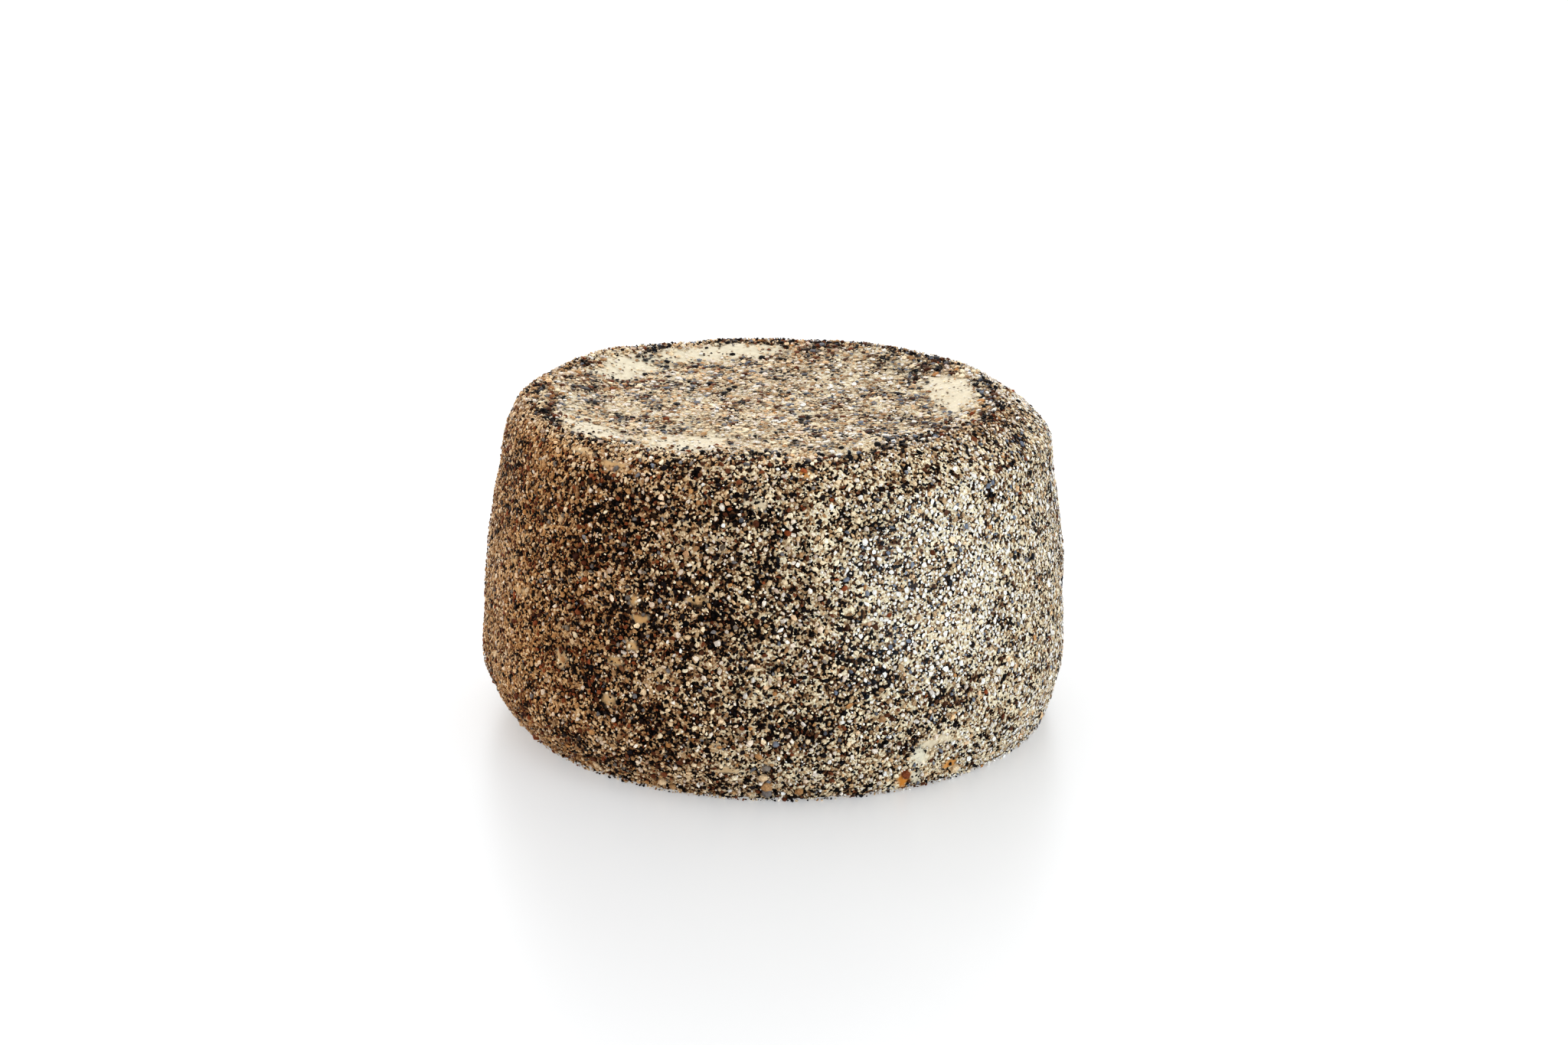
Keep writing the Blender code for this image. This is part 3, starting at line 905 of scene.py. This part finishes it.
def colour_values(angle, station, rng):
    """The tone and warmth of each grain, 0 to 1, which its material turns into a colour."""
    film, cool = oil_film_and_sheen(angle, station), painted_cool_light(angle)
    upper = topness(station)
    calm = cool * (station < 3.0)
    # At the right and under the oil the tones turn cooler and calmer: painted cool light and painted sheen
    middle = TONE[0] + TOP_SHIFT[0] * upper + PAINTED_COOL_LIGHT_SHIFT[0] * calm + PAINTED_SHEEN_SHIFT[0] * film
    spread = TONE[1] + TOP_SHIFT[1] * upper + PAINTED_COOL_LIGHT_SHIFT[1] * calm + PAINTED_SHEEN_SHIFT[1] * film
    tone = np.clip(rng.normal(middle, spread), 0, 1)
    warmth = rng.normal(*WARMTH, len(angle)) + LEFT_WARMTH * leftness(angle, station) + PAINTED_SHEEN_SHIFT[2] * film
    warmth += RIM_WARMTH * rim_gathering(angle, station) + PAINTED_COOL_LIGHT_SHIFT[2] * cool + TOP_SHIFT[2] * upper
    odd = rng.random(len(angle)) < ODD_SHARE
    odd_warmth = rng.uniform(*ODD_WARMTH, len(angle))
    return tone, np.where(odd, odd_warmth, np.clip(warmth, 0, 1))


_coating = {}


def coating():
    """All the grains, packed once: places, frames, sizes, kinds and the two colour values."""
    settings = bpy.context.scene.grain_settings
    key = (settings.tries, round(settings.room, 4), settings.seed)
    if _coating.get("key") == key:
        return _coating
    rng = np.random.default_rng(settings.seed)
    count = settings.tries
    station = area_stations(rng.random(count), -1, 5, 1400)
    angle = rng.uniform(0, 2 * np.pi, count)
    sizes = []
    for share, low, high in SIZE_CLASSES:
        sizes.append(np.sort(rng.uniform(low, high, int(count * share)))[::-1])
    size = np.concatenate(sizes)
    count = len(size)
    station, angle = station[:count], angle[:count]
    size = size * np.where(station > 3, TOP_COARSENESS, 1)

    bare = bareness(angle, station, rind_points(angle, station))
    stay = rng.random(count) > BARE_SHARE * bare
    stay &= (station > 0) | (rng.random(count) < UNDERSIDE_SHARE)
    station, angle, size = station[stay], angle[stay], size[stay]
    alone = len(LONE_BITS)
    angle = np.concatenate([np.radians([bit[0] for bit in LONE_BITS]), angle])
    station = np.concatenate([[bit[1] for bit in LONE_BITS], station])
    size = np.concatenate([[bit[2] for bit in LONE_BITS], size])
    smooth = rind_points(angle, station)

    lumps = solid_lumps()
    taken = [(tuple(lump["centre"]), lump["size"] / 2) for lump in lumps]
    kept = packed(smooth, size / 2, taken, settings.room, alone)
    station, angle, size, smooth = station[kept], angle[kept], size[kept], smooth[kept]

    count = len(kept)
    kind = choose_kinds(smooth, angle, station, size, rng)
    pressed = np.where(station < 0, RUBBED_UNDERSIDE, smoothness(angle, station))
    sink = rng.uniform(*SINK, count) * MM * (1 - SINK_LOSS * pressed)
    sink = sink - FINE_SINK * (1 - ramp(size, *FINE_SINK_SIZES))
    tone, warmth = colour_values(angle, station, rng)
    kind[:alone] = [list(KINDS).index(bit[3]) for bit in LONE_BITS]
    tone[:alone] = [bit[4] for bit in LONE_BITS]
    warmth[:alone] = [bit[5] for bit in LONE_BITS]
    _coating.update(
        key=key,
        place=smooth,
        normal=outward(angle, station),
        across=np.stack([np.cos(angle), np.sin(angle), np.zeros(count)], axis=-1),
        lift=unevenness(smooth, station) + sink,
        size=size,
        kind=kind,
        pressed=pressed,
        film=FILM_WEIGHT * oil_film_and_sheen(angle, station),
        tone=tone,
        warmth=warmth,
        lumps=lumps,
    )
    return _coating


# Meshes


def octahedron():
    """The base form of the finest grains."""
    corners = np.array([[1, 0, 0], [0, 1, 0], [-1, 0, 0], [0, -1, 0], [0, 0, 1], [0, 0, -1]], float)
    faces = [(i, (i + 1) % 4, 4) for i in range(4)] + [((i + 1) % 4, i, 5) for i in range(4)]
    return corners, np.array(faces)


def chip():
    """The base form of the middling grains: a block of 12 triangles."""
    corners = np.array([[x, y, z] for x in (-1, 1) for y in (-1, 1) for z in (-1, 1)], float)
    quads = [(0, 1, 3, 2), (4, 6, 7, 5), (0, 4, 5, 1), (2, 3, 7, 6), (0, 2, 6, 4), (1, 5, 7, 3)]
    faces = [t for a, b, c, d in quads for t in ((a, b, c), (a, c, d))]
    return corners / math.sqrt(3), np.array(faces)


def icosahedron():
    """The base form of the coarse grains."""
    bm = bmesh.new()
    bmesh.ops.create_icosphere(bm, subdivisions=1, radius=1)
    return corners_and_faces(bm)


def turns(rng, count):
    """Random turns as matrices, from unit quaternions."""
    q = rng.normal(size=(count, 4))
    w, x, y, z = (q / np.linalg.norm(q, axis=1)[:, None]).T
    rows = [
        [1 - 2 * (y * y + z * z), 2 * (x * y - w * z), 2 * (x * z + w * y)],
        [2 * (x * y + w * z), 1 - 2 * (x * x + z * z), 2 * (y * z - w * x)],
        [2 * (x * z - w * y), 2 * (y * z + w * x), 1 - 2 * (x * x + y * y)],
    ]
    return np.array(rows).transpose(2, 0, 1)


def grain_corners(coat, chosen, base, rng):
    """The corners of these grains: a base form, jittered, stretched, turned and set on the rind."""
    count = chosen.sum()
    corners = base[None] * rng.uniform(*CORNER_REACH, (count, len(base), 1))
    corners = corners + rng.normal(0, GRAIN_JITTER, corners.shape)
    width = rng.uniform(*GRAIN_WIDTH, count)
    thickness = rng.uniform(*GRAIN_THICKNESS, count)
    corners = corners * np.stack([np.ones(count), width, thickness], axis=1)[:, None]
    corners = np.einsum("nij,nkj->nki", turns(rng, count), corners)
    corners[..., 2] *= (1 - coat["pressed"][chosen])[:, None]
    corners *= coat["size"][chosen][:, None, None] / 2
    height = corners[..., 2] - corners[..., 2].max(axis=1)[:, None] + coat["lift"][chosen][:, None]
    normal, across = coat["normal"][chosen], coat["across"][chosen]
    beside = np.cross(normal, across)
    return (
        coat["place"][chosen][:, None]
        + across[:, None] * corners[..., 0:1]
        + beside[:, None] * corners[..., 1:2]
        + normal[:, None] * height[..., None]
    )


def inside_box(points):
    """The points moved to the solid's own middle and kept in its box."""
    low, high = np.array(CAD_BOX[0]), np.array(CAD_BOX[1])
    moved = points + np.array([middle_shift(), 0, 0])
    return np.clip(moved, low + 2e-6, high - 2e-6)


def new_object(name, data):
    """A new object in the scene with this data."""
    made = bpy.data.objects.new(name, data)
    bpy.context.scene.collection.objects.link(made)
    return made


def mesh_object(name, points, faces, flat):
    """A mesh object of triangles."""
    mesh = bpy.data.meshes.new(name)
    mesh.vertices.add(len(points))
    mesh.vertices.foreach_set("co", points.astype(np.float32).ravel())
    mesh.loops.add(faces.size)
    mesh.loops.foreach_set("vertex_index", faces.astype(np.int32).ravel())
    mesh.polygons.add(len(faces))
    mesh.polygons.foreach_set("loop_start", np.arange(0, faces.size, 3, dtype=np.int32))
    mesh.update(calc_edges=True)
    mesh.validate()
    if flat:
        mesh.shade_flat()
    else:
        mesh.shade_smooth()
    return new_object(name, mesh)


def add_value(mesh, name, values):
    """A number for each corner point, which a material reads by its name."""
    layer = mesh.attributes.new(name, "FLOAT", "POINT")
    layer.data.foreach_set("value", np.asarray(values, np.float32))


def add_colour_map(mesh, faces, tone, warmth):
    """A map with tone across and warmth up, where each face has a little width of its own."""
    width = 0.006
    place = np.stack([tone, warmth], axis=1)[faces[:, 0]] * (1 - 4 * width) + width
    place = place[:, None] + np.array([[0, 0], [width, 0], [0, width]])
    layer = mesh.uv_layers.new(name="OFBake")
    layer.uv.foreach_set("vector", place.astype(np.float32).ravel())


def make_grains(name):
    """All the grains of one kind as one mesh, with the solid's lumps of that kind."""
    coat = coating()
    number = list(KINDS).index(name)
    rng = np.random.default_rng(KINDS[name]["seed"])
    ours = coat["kind"] == number
    size = coat["size"]
    forms = (
        (ours & (size >= COARSE), icosahedron()),
        (ours & (size < COARSE) & (size >= MEDIUM), chip()),
        (ours & (size < MEDIUM), octahedron()),
    )
    parts, start = [], 0
    for chosen, (base, base_faces) in forms:
        corners = grain_corners(coat, chosen, base, rng)
        offset = start + np.arange(len(corners))[:, None, None] * len(base)
        own = [np.repeat(coat[label][chosen], len(base)) for label in ("tone", "warmth", "film")]
        parts.append((corners.reshape(-1, 3), (base_faces[None] + offset).reshape(-1, 3), *own))
        start += len(corners) * len(base)
    for lump in coat["lumps"]:
        if lump["kind"] != name:
            continue
        count = len(lump["corners"])
        rough = (lump["corners"] - lump["centre"]) * rng.uniform(*LUMP_REACH, (count, 1))
        own = [np.full(count, rng.uniform(*limits)) for limits in (LUMP_TONE, LUMP_WARMTH)]
        parts.append((lump["centre"] + rough, lump["faces"] + start, *own, np.zeros(count)))
        start += count
    points, faces, tone, warmth, film = (np.concatenate(part) for part in zip(*parts, strict=True))
    made = mesh_object(name, inside_box(points), faces, flat=True)
    for label, values in (("tone", tone), ("warmth", warmth), ("film", film)):
        add_value(made.data, label, values)
    add_colour_map(made.data, faces, tone, warmth)
    return made


def stitched(low_start, low_count, high_start, high_count):
    """Triangles between two rings of points, whatever their counts, walking round both."""
    i = j = 0
    while i < low_count or j < high_count:
        if j == high_count or (i < low_count and (i + 0.5) / low_count <= (j + 0.5) / high_count):
            yield (
                low_start + i,
                low_start + (i + 1) % low_count,
                high_start + j % high_count,
            )
            i += 1
        else:
            yield (
                low_start + i % low_count,
                high_start + (j + 1) % high_count,
                high_start + j,
            )
            j += 1


def core_rings(spacing):
    """Stations and point counts of the core's rings, an even distance apart."""
    stations = np.linspace(-1, 5, 3000)
    radius, height, _ = turned(np.zeros(3000), stations)
    walked = np.concatenate([[0], np.cumsum(np.hypot(np.diff(radius), np.diff(height)))])
    rows = int(walked[-1] / spacing)
    at = np.interp(np.arange(1, rows) / rows * walked[-1], walked, stations)
    counts = np.maximum(6, np.round(2 * np.pi * turned(np.zeros(rows - 1), at)[0] / spacing)).astype(int)
    return at, counts


def make_core():
    """The paste with its dust: one closed body a little below the tops of the grains."""
    settings = bpy.context.scene.rind_settings
    stations, counts = core_rings(settings.spacing)
    angle, station = [np.zeros(1)], [np.full(1, -1.0)]
    for row, (at, count) in enumerate(zip(stations, counts, strict=True)):
        angle.append((np.arange(count) + 0.5 * (row % 2)) * 2 * np.pi / count)
        station.append(np.full(count, at))
    angle = np.concatenate([*angle, np.zeros(1)])
    station = np.concatenate([*station, np.full(1, 5.0)])

    starts = 1 + np.concatenate([[0], np.cumsum(counts)])
    faces = [(0, starts[0] + (i + 1) % counts[0], starts[0] + i) for i in range(counts[0])]
    for row in range(len(counts) - 1):
        faces.extend(stitched(starts[row], counts[row], starts[row + 1], counts[row + 1]))
    last, tip = starts[-2], len(angle) - 1
    faces.extend((last + i, last + (i + 1) % counts[-1], tip) for i in range(counts[-1]))

    smooth = rind_points(angle, station)
    shown = bareness(angle, station, smooth)
    rng = np.random.default_rng(CORE_SEED)
    relief = waves(smooth, CORE_WAVELENGTH, settings.relief, CORE_WAVE_SEED)
    relief = relief + rng.uniform(-1, 1, len(angle)) * settings.relief
    depth = settings.depth - BARE_RISE * shown
    lift = unevenness(smooth, station) - depth + relief * (1 - BARE_FLATNESS * shown)
    points = smooth + outward(angle, station) * lift[:, None]
    made = mesh_object("peppered_core", inside_box(points), np.array(faces), flat=False)
    values = {
        "bare": shown,
        "tan": spots(angle, station)[1],
        "above": topness(station),
        "left": leftness(angle, station),
        # The coating's paleness, with painted light at the right, far left and foot, and painted shade on
        # the folds
        "shade": ramp(-darkness_and_painted_light(smooth, angle, station), -SHADE_REACH, SHADE_REACH),
        "film": FILM_WEIGHT * oil_film_and_sheen(angle, station),
    }
    for label, value in values.items():
        add_value(made.data, label, value)
    return made


# Materials

# Dust between the grains: each colour with the share of the dust that is darker. Its near-black colours are
# partly painted shade deep in the gaps between the grains
SIDE_DUST = (
    (0.0, (0.003, 0.0015, 0.001)),
    (0.32, (0.022, 0.009, 0.004)),
    (0.46, (0.11, 0.052, 0.024)),
    (0.57, (0.30, 0.18, 0.09)),
    (0.70, (0.52, 0.39, 0.24)),
    (0.88, (0.76, 0.65, 0.46)),
)
TOP_DUST = (
    (0.0, (0.03, 0.020, 0.014)),
    (0.08, (0.16, 0.10, 0.06)),
    (0.18, (0.38, 0.27, 0.17)),
    (0.34, (0.54, 0.43, 0.29)),
    (0.62, (0.64, 0.56, 0.41)),
    (0.86, (0.71, 0.65, 0.50)),
)
DUST_SIZE = 0.42 * MM
DUST_GATHERING = 0.65
DUST_HEIGHT = 0.18 * MM
SPECK_SHARE = 0.11
TAN_PASTE = (0.54, 0.33, 0.15)
STAINED_PASTE = (0.52, 0.20, 0.035)
TAN_STAIN = 0.6
# Tint of the dust at the left: partly browner dust, partly painted warm shade
LEFT_TINT = (1.0, 0.72, 0.48)
DUST_ROUGHNESS = 0.62
PASTE_ROUGHNESS = 0.42
CORE_SPECULAR = 0.06
PASTE_MOTTLE = {"Size": 1.1 * MM, "Strength": 0.10}
GRAIN_MOTTLE = {"Size": 0.22 * MM, "Strength": 0.30}
GRAIN_HEIGHT = 0.06 * MM
ROUGHNESS_SPREAD = 0.12
FILM_ROUGHNESS = 0.30
FLOOR_MOTTLE = {"Size": 40 * MM, "Strength": 0.01}
FLOOR_ROUGHNESS = 0.35
FLOOR_GLOW = 0.34


def new_node(tree, kind, inputs=None, **values):
    """A node with these properties. An input that is given a socket is linked, and any other is set."""
    made = tree.nodes.new(kind)
    for name, value in values.items():
        setattr(made, name, value)
    for socket, value in (inputs or {}).items():
        if isinstance(value, bpy.types.NodeSocket):
            tree.links.new(value, made.inputs[socket])
        else:
            made.inputs[socket].default_value = value
    return made


def calculated(tree, operation, *given):
    """The result of a calculation with these numbers or sockets."""
    return new_node(tree, "ShaderNodeMath", dict(enumerate(given)), operation=operation).outputs[0]


def spread_over(tree, value, start, end, low=0.0, high=1.0, shape="LINEAR"):
    """A value from low to high spread from start to end, evenly or in another shape."""
    inputs = {"Value": value, "From Min": low, "From Max": high, "To Min": start, "To Max": end}
    return new_node(tree, "ShaderNodeMapRange", inputs, interpolation_type=shape).outputs["Result"]


def mesh_value(tree, name):
    """The number of this name that the mesh holds for each corner point."""
    return new_node(tree, "ShaderNodeAttribute", attribute_name=name).outputs["Fac"]


def object_place(tree):
    """The place on the object, in metres."""
    return new_node(tree, "ShaderNodeTexCoord").outputs["Object"]


def mix_colour(tree, factor, first, second, blend="MIX"):
    """A mix of two colours."""
    inputs = {0: factor, 6: first, 7: second}
    return new_node(tree, "ShaderNodeMix", inputs, data_type="RGBA", blend_type=blend).outputs[2]


def scale_colour(tree, colour, factor):
    """A colour times a factor."""
    inputs = {0: colour, "Scale": factor}
    return new_node(tree, "ShaderNodeVectorMath", inputs, operation="SCALE").outputs[0]


def new_group(name, inputs, outputs):
    """An empty shader node group with these sockets, and its two end nodes."""
    tree = bpy.data.node_groups.new(name, "ShaderNodeTree")
    for label, kind, default in inputs:
        socket = tree.interface.new_socket(label, in_out="INPUT", socket_type=kind)
        socket.default_value = default
    for label, kind in outputs:
        tree.interface.new_socket(label, in_out="OUTPUT", socket_type=kind)
    return tree, tree.nodes.new("NodeGroupInput"), tree.nodes.new("NodeGroupOutput")


def fine_mottle_group():
    """Small uneven spots over a surface: a factor round 1 and a height from 0 to 1."""
    name = "Fine mottle"
    if name in bpy.data.node_groups:
        return bpy.data.node_groups[name]
    inputs = [("Size", "NodeSocketFloat", 0.3 * MM), ("Strength", "NodeSocketFloat", 0.3)]
    outputs = [("Factor", "NodeSocketFloat"), ("Height", "NodeSocketFloat")]
    tree, given, result = new_group(name, inputs, outputs)
    rate = calculated(tree, "DIVIDE", 1.0, given.outputs["Size"])
    fine = {"Vector": object_place(tree), "Scale": rate, "Detail": 2.0}
    noise = new_node(tree, "ShaderNodeTexNoise", fine, noise_dimensions="3D").outputs["Fac"]
    low = calculated(tree, "SUBTRACT", 1.0, given.outputs["Strength"])
    high = calculated(tree, "ADD", 1.0, given.outputs["Strength"])
    factor = spread_over(tree, noise, low, high, 0.3, 0.7)
    tree.links.new(factor, result.inputs["Factor"])
    tree.links.new(noise, result.inputs["Height"])
    return tree


def grain_colour_group():
    """A grain's colour from its own two values, tone and warmth, between four corner colours."""
    name = "Grain colour"
    if name in bpy.data.node_groups:
        return bpy.data.node_groups[name]
    grey = (0.5, 0.5, 0.5, 1.0)
    inputs = [(label, "NodeSocketColor", grey) for label in GRAIN_COLOURS]
    inputs.append(("Mottle", "NodeSocketFloat", 1.0))
    tree, given, result = new_group(name, inputs, [("Colour", "NodeSocketColor")])
    tone, warmth = mesh_value(tree, "tone"), mesh_value(tree, "warmth")
    cool = mix_colour(tree, tone, given.outputs["Dark"], given.outputs["Pale"])
    warm = mix_colour(tree, tone, given.outputs["Dark warm"], given.outputs["Pale warm"])
    plain = mix_colour(tree, warmth, cool, warm)
    tree.links.new(scale_colour(tree, plain, given.outputs["Mottle"]), result.inputs["Colour"])
    return tree


def new_material(name):
    """An empty material with its principled shader."""
    material = bpy.data.materials.new(name)
    material.use_nodes = True
    return material, material.node_tree, material.node_tree.nodes["Principled BSDF"]


def add_bump(tree, height, shader, reach):
    """Fine relief on the shader's normal."""
    bump = new_node(tree, "ShaderNodeBump", {"Height": height, "Distance": reach, "Strength": 1.0})
    tree.links.new(bump.outputs["Normal"], shader.inputs["Normal"])


def add_film(tree, shader):
    """A thin film of oil, as strong as the mesh says at each place."""
    tree.links.new(mesh_value(tree, "film"), shader.inputs["Coat Weight"])
    shader.inputs["Coat Roughness"].default_value = FILM_ROUGHNESS


def grain_material(name):
    """Broken pepper: each grain has its own colour, mottled, with a rough and finely uneven face."""
    kind = KINDS[name]
    material, tree, shader = new_material(name)
    shader.inputs["Specular IOR Level"].default_value = kind["specular"]
    mottle = new_node(tree, "ShaderNodeGroup", GRAIN_MOTTLE, node_tree=fine_mottle_group())
    values = {label: (*kind[key], 1.0) for label, key in GRAIN_COLOURS.items()}
    values["Mottle"] = mottle.outputs["Factor"]
    colour = new_node(tree, "ShaderNodeGroup", values, node_tree=grain_colour_group())
    tree.links.new(colour.outputs["Colour"], shader.inputs["Base Color"])
    height, roughness = mottle.outputs["Height"], kind["roughness"]
    rough = spread_over(tree, height, roughness - ROUGHNESS_SPREAD, roughness + ROUGHNESS_SPREAD)
    tree.links.new(rough, shader.inputs["Roughness"])
    add_bump(tree, height, shader, GRAIN_HEIGHT)
    add_film(tree, shader)
    return material


def colour_ramp(tree, stops, given, interpolation):
    """The colours of a ramp with these stops, at the given value."""
    made = new_node(tree, "ShaderNodeValToRGB", {0: given})
    made.color_ramp.interpolation = interpolation
    elements = made.color_ramp.elements
    while len(elements) < len(stops):
        elements.new(0.5)
    for element, (place, colour) in zip(elements, stops, strict=True):
        element.position = place
        element.color = (*colour, 1.0)
    return made.outputs[0]


def core_material():
    """Cheese paste under pepper dust: cells of dust colour, and clean paste where it is bare."""
    material, tree, shader = new_material("peppered_core")
    cell_inputs = {"Scale": 1 / DUST_SIZE, "Vector": object_place(tree)}
    cells = new_node(tree, "ShaderNodeTexVoronoi", cell_inputs, voronoi_dimensions="3D", feature="F1")
    chance = new_node(tree, "ShaderNodeSeparateColor", {0: cells.outputs["Color"]})
    # The dust's shade follows the coating's, which holds painted light at the right, far left and foot and
    # painted shade on the folds
    centred = calculated(tree, "SUBTRACT", mesh_value(tree, "shade"), 0.5)
    draw = calculated(tree, "MULTIPLY_ADD", centred, DUST_GATHERING, chance.outputs[0])
    side = colour_ramp(tree, SIDE_DUST, draw, "CONSTANT")
    top = colour_ramp(tree, TOP_DUST, draw, "CONSTANT")
    neutral = mix_colour(tree, mesh_value(tree, "above"), side, top)
    # Warmer at the left: partly browner dust, partly painted warm shade
    dust = mix_colour(tree, mesh_value(tree, "left"), neutral, (*LEFT_TINT, 1.0), "MULTIPLY")

    mottle = new_node(tree, "ShaderNodeGroup", PASTE_MOTTLE, node_tree=fine_mottle_group())
    clean = tuple(bpy.context.scene.rind_settings.paste)
    stains = ((0.0, clean), (TAN_STAIN, TAN_PASTE), (1.0, STAINED_PASTE))
    stained = colour_ramp(tree, stains, mesh_value(tree, "tan"), "LINEAR")
    paste = scale_colour(tree, stained, mottle.outputs["Factor"])
    speck = calculated(tree, "GREATER_THAN", chance.outputs[1], 1 - SPECK_SHARE)
    bare = mesh_value(tree, "bare")
    colour = mix_colour(tree, bare, dust, mix_colour(tree, speck, paste, neutral))
    tree.links.new(colour, shader.inputs["Base Color"])
    rough = spread_over(tree, bare, DUST_ROUGHNESS, PASTE_ROUGHNESS)
    tree.links.new(rough, shader.inputs["Roughness"])
    shader.inputs["Specular IOR Level"].default_value = CORE_SPECULAR
    reach = calculated(tree, "MULTIPLY_ADD", bare, -BARE_FLATNESS, 1.0)
    height = calculated(tree, "MULTIPLY", cells.outputs["Distance"], reach)
    add_bump(tree, height, shader, -DUST_HEIGHT)
    add_film(tree, shader)
    return material


def floor_material():
    """A pale, faintly lit board, slightly uneven in colour, with an even gloss."""
    material, tree, shader = new_material("pale_floor")
    mottle = new_node(tree, "ShaderNodeGroup", FLOOR_MOTTLE, node_tree=fine_mottle_group())
    colour = tuple(bpy.context.scene.stage_settings.floor_colour)
    tree.links.new(scale_colour(tree, colour, mottle.outputs["Factor"]), shader.inputs["Base Color"])
    shader.inputs["Roughness"].default_value = FLOOR_ROUGHNESS
    shader.inputs["Emission Color"].default_value = (1.0, 1.0, 1.0, 1.0)
    shader.inputs["Emission Strength"].default_value = FLOOR_GLOW
    return material


def finish_piece(made, material):
    """Gives a piece its material and its place in the frame."""
    made.data.materials.append(material)
    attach(made, "root")


# Operators


class CHEESE_OT_core(bpy.types.Operator):
    """Makes the core of cheese paste and pepper dust in place of the plain solid"""

    bl_idname = "cheese.core"
    bl_label = "Core of paste and dust"

    def execute(self, context):
        made = make_core()
        finish_piece(made, core_material())
        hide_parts(NODE)
        return {"FINISHED"}


class CHEESE_OT_grains(bpy.types.Operator):
    """Makes the ground pepper as real grains, one piece for each of its six kinds"""

    bl_idname = "cheese.grains"
    bl_label = "Ground pepper"

    def execute(self, context):
        for name in KINDS:
            finish_piece(make_grains(name), grain_material(name))
        return {"FINISHED"}


class CHEESE_OT_stage(bpy.types.Operator):
    """Makes the pale floor, the soft lights, the surroundings and the camera"""

    bl_idname = "cheese.stage"
    bl_label = "Studio"

    def execute(self, context):
        make_floor()
        make_lights()
        make_surroundings()
        make_camera()
        return {"FINISHED"}


def make_floor():
    """A wide flat floor under the wheel."""
    bm = bmesh.new()
    bmesh.ops.create_grid(bm, x_segments=8, y_segments=8, size=FLOOR_HALF)
    mesh = bpy.data.meshes.new("floor")
    bm.to_mesh(mesh)
    bm.free()
    floor = new_object("floor", mesh)
    mesh.materials.append(floor_material())


def make_lights():
    """A wide, low softbox at the right, standing upright and facing the wheel."""
    window = bpy.data.lights.new("window", "AREA")
    window.shape = "RECTANGLE"
    window.size, window.size_y = WINDOW_SIZE
    window.energy = bpy.context.scene.stage_settings.window
    window.color = WINDOW_COLOUR
    made = new_object("window", window)
    x, y = WINDOW_DISTANCE * math.sin(WINDOW_ANGLE), -WINDOW_DISTANCE * math.cos(WINDOW_ANGLE)
    made.location = (x, y, WINDOW_HEIGHT)
    made.rotation_euler = (math.pi / 2, 0, WINDOW_ANGLE)
    made.visible_camera = False


def make_surroundings():
    """Light that is strong above and behind and weak at the camera's side. The camera sees white."""
    settings = bpy.context.scene.stage_settings
    world = bpy.data.worlds.new("studio")
    bpy.context.scene.world = world
    world.use_nodes = True
    tree = world.node_tree
    around = new_node(tree, "ShaderNodeTexCoord").outputs["Generated"]
    both = {0: around, 1: Vector(BRIGHT_SIDE).normalized()}
    towards = new_node(tree, "ShaderNodeVectorMath", both, operation="DOT_PRODUCT")
    ends = (settings.dim, settings.bright, DIM_END, BRIGHT_END)
    strength = spread_over(tree, towards.outputs["Value"], *ends, shape="SMOOTHSTEP")
    white = (1.0, 1.0, 1.0, 1.0)
    light = tree.nodes["Background"]
    light.inputs["Color"].default_value = white
    tree.links.new(strength, light.inputs["Strength"])
    seen = new_node(tree, "ShaderNodeBackground", {"Color": white, "Strength": 1.0})
    path = new_node(tree, "ShaderNodeLightPath")
    parts = {0: path.outputs["Is Camera Ray"], 1: light.outputs[0], 2: seen.outputs[0]}
    mix = new_node(tree, "ShaderNodeMixShader", parts)
    tree.links.new(mix.outputs[0], tree.nodes["World Output"].inputs["Surface"])
    bpy.context.scene.view_settings.view_transform = "Standard"
    bpy.context.scene.view_settings.look = "Medium High Contrast"


def make_camera():
    """The camera at the photograph's place."""
    camera = bpy.data.cameras.new("camera")
    camera.sensor_width = SENSOR_WIDTH
    camera.lens = FOCAL_PIXELS / IMAGE_WIDTH * SENSOR_WIDTH
    camera.clip_start = 0.01
    made = new_object("camera", camera)
    made.location = (middle_shift(), -CAMERA_DISTANCE, CAMERA_HEIGHT)
    made.rotation_euler = (math.pi / 2 - CAMERA_PITCH, 0, -CAMERA_TURN)
    bpy.context.scene.camera = made


class CHEESE_PT_panel(bpy.types.Panel):
    """Lists the pieces of the wheel and their settings"""

    bl_idname = "CHEESE_PT_panel"
    bl_label = "Peppered cheese wheel"
    bl_space_type = "VIEW_3D"
    bl_region_type = "UI"
    bl_category = "Cheese"

    def draw(self, context):
        scene = context.scene
        for group in (scene.rind_settings, scene.grain_settings, scene.stage_settings):
            box = self.layout.box()
            for name in group.__annotations__:
                box.prop(group, name)
        for operator in OPERATORS:
            self.layout.operator(operator.bl_idname)


OPERATORS = (CHEESE_OT_core, CHEESE_OT_grains, CHEESE_OT_stage)
CLASSES = (RindSettings, GrainSettings, StageSettings, *OPERATORS, CHEESE_PT_panel)


def register():
    for made in CLASSES:
        bpy.utils.register_class(made)
    bpy.types.Scene.rind_settings = PointerProperty(type=RindSettings)
    bpy.types.Scene.grain_settings = PointerProperty(type=GrainSettings)
    bpy.types.Scene.stage_settings = PointerProperty(type=StageSettings)


def unregister():
    del bpy.types.Scene.stage_settings
    del bpy.types.Scene.grain_settings
    del bpy.types.Scene.rind_settings
    for made in reversed(CLASSES):
        bpy.utils.unregister_class(made)


def main():
    register()
    bpy.ops.cheese.core()
    bpy.ops.cheese.grains()
    bpy.ops.cheese.stage()


if __name__ == "__main__":
    main()
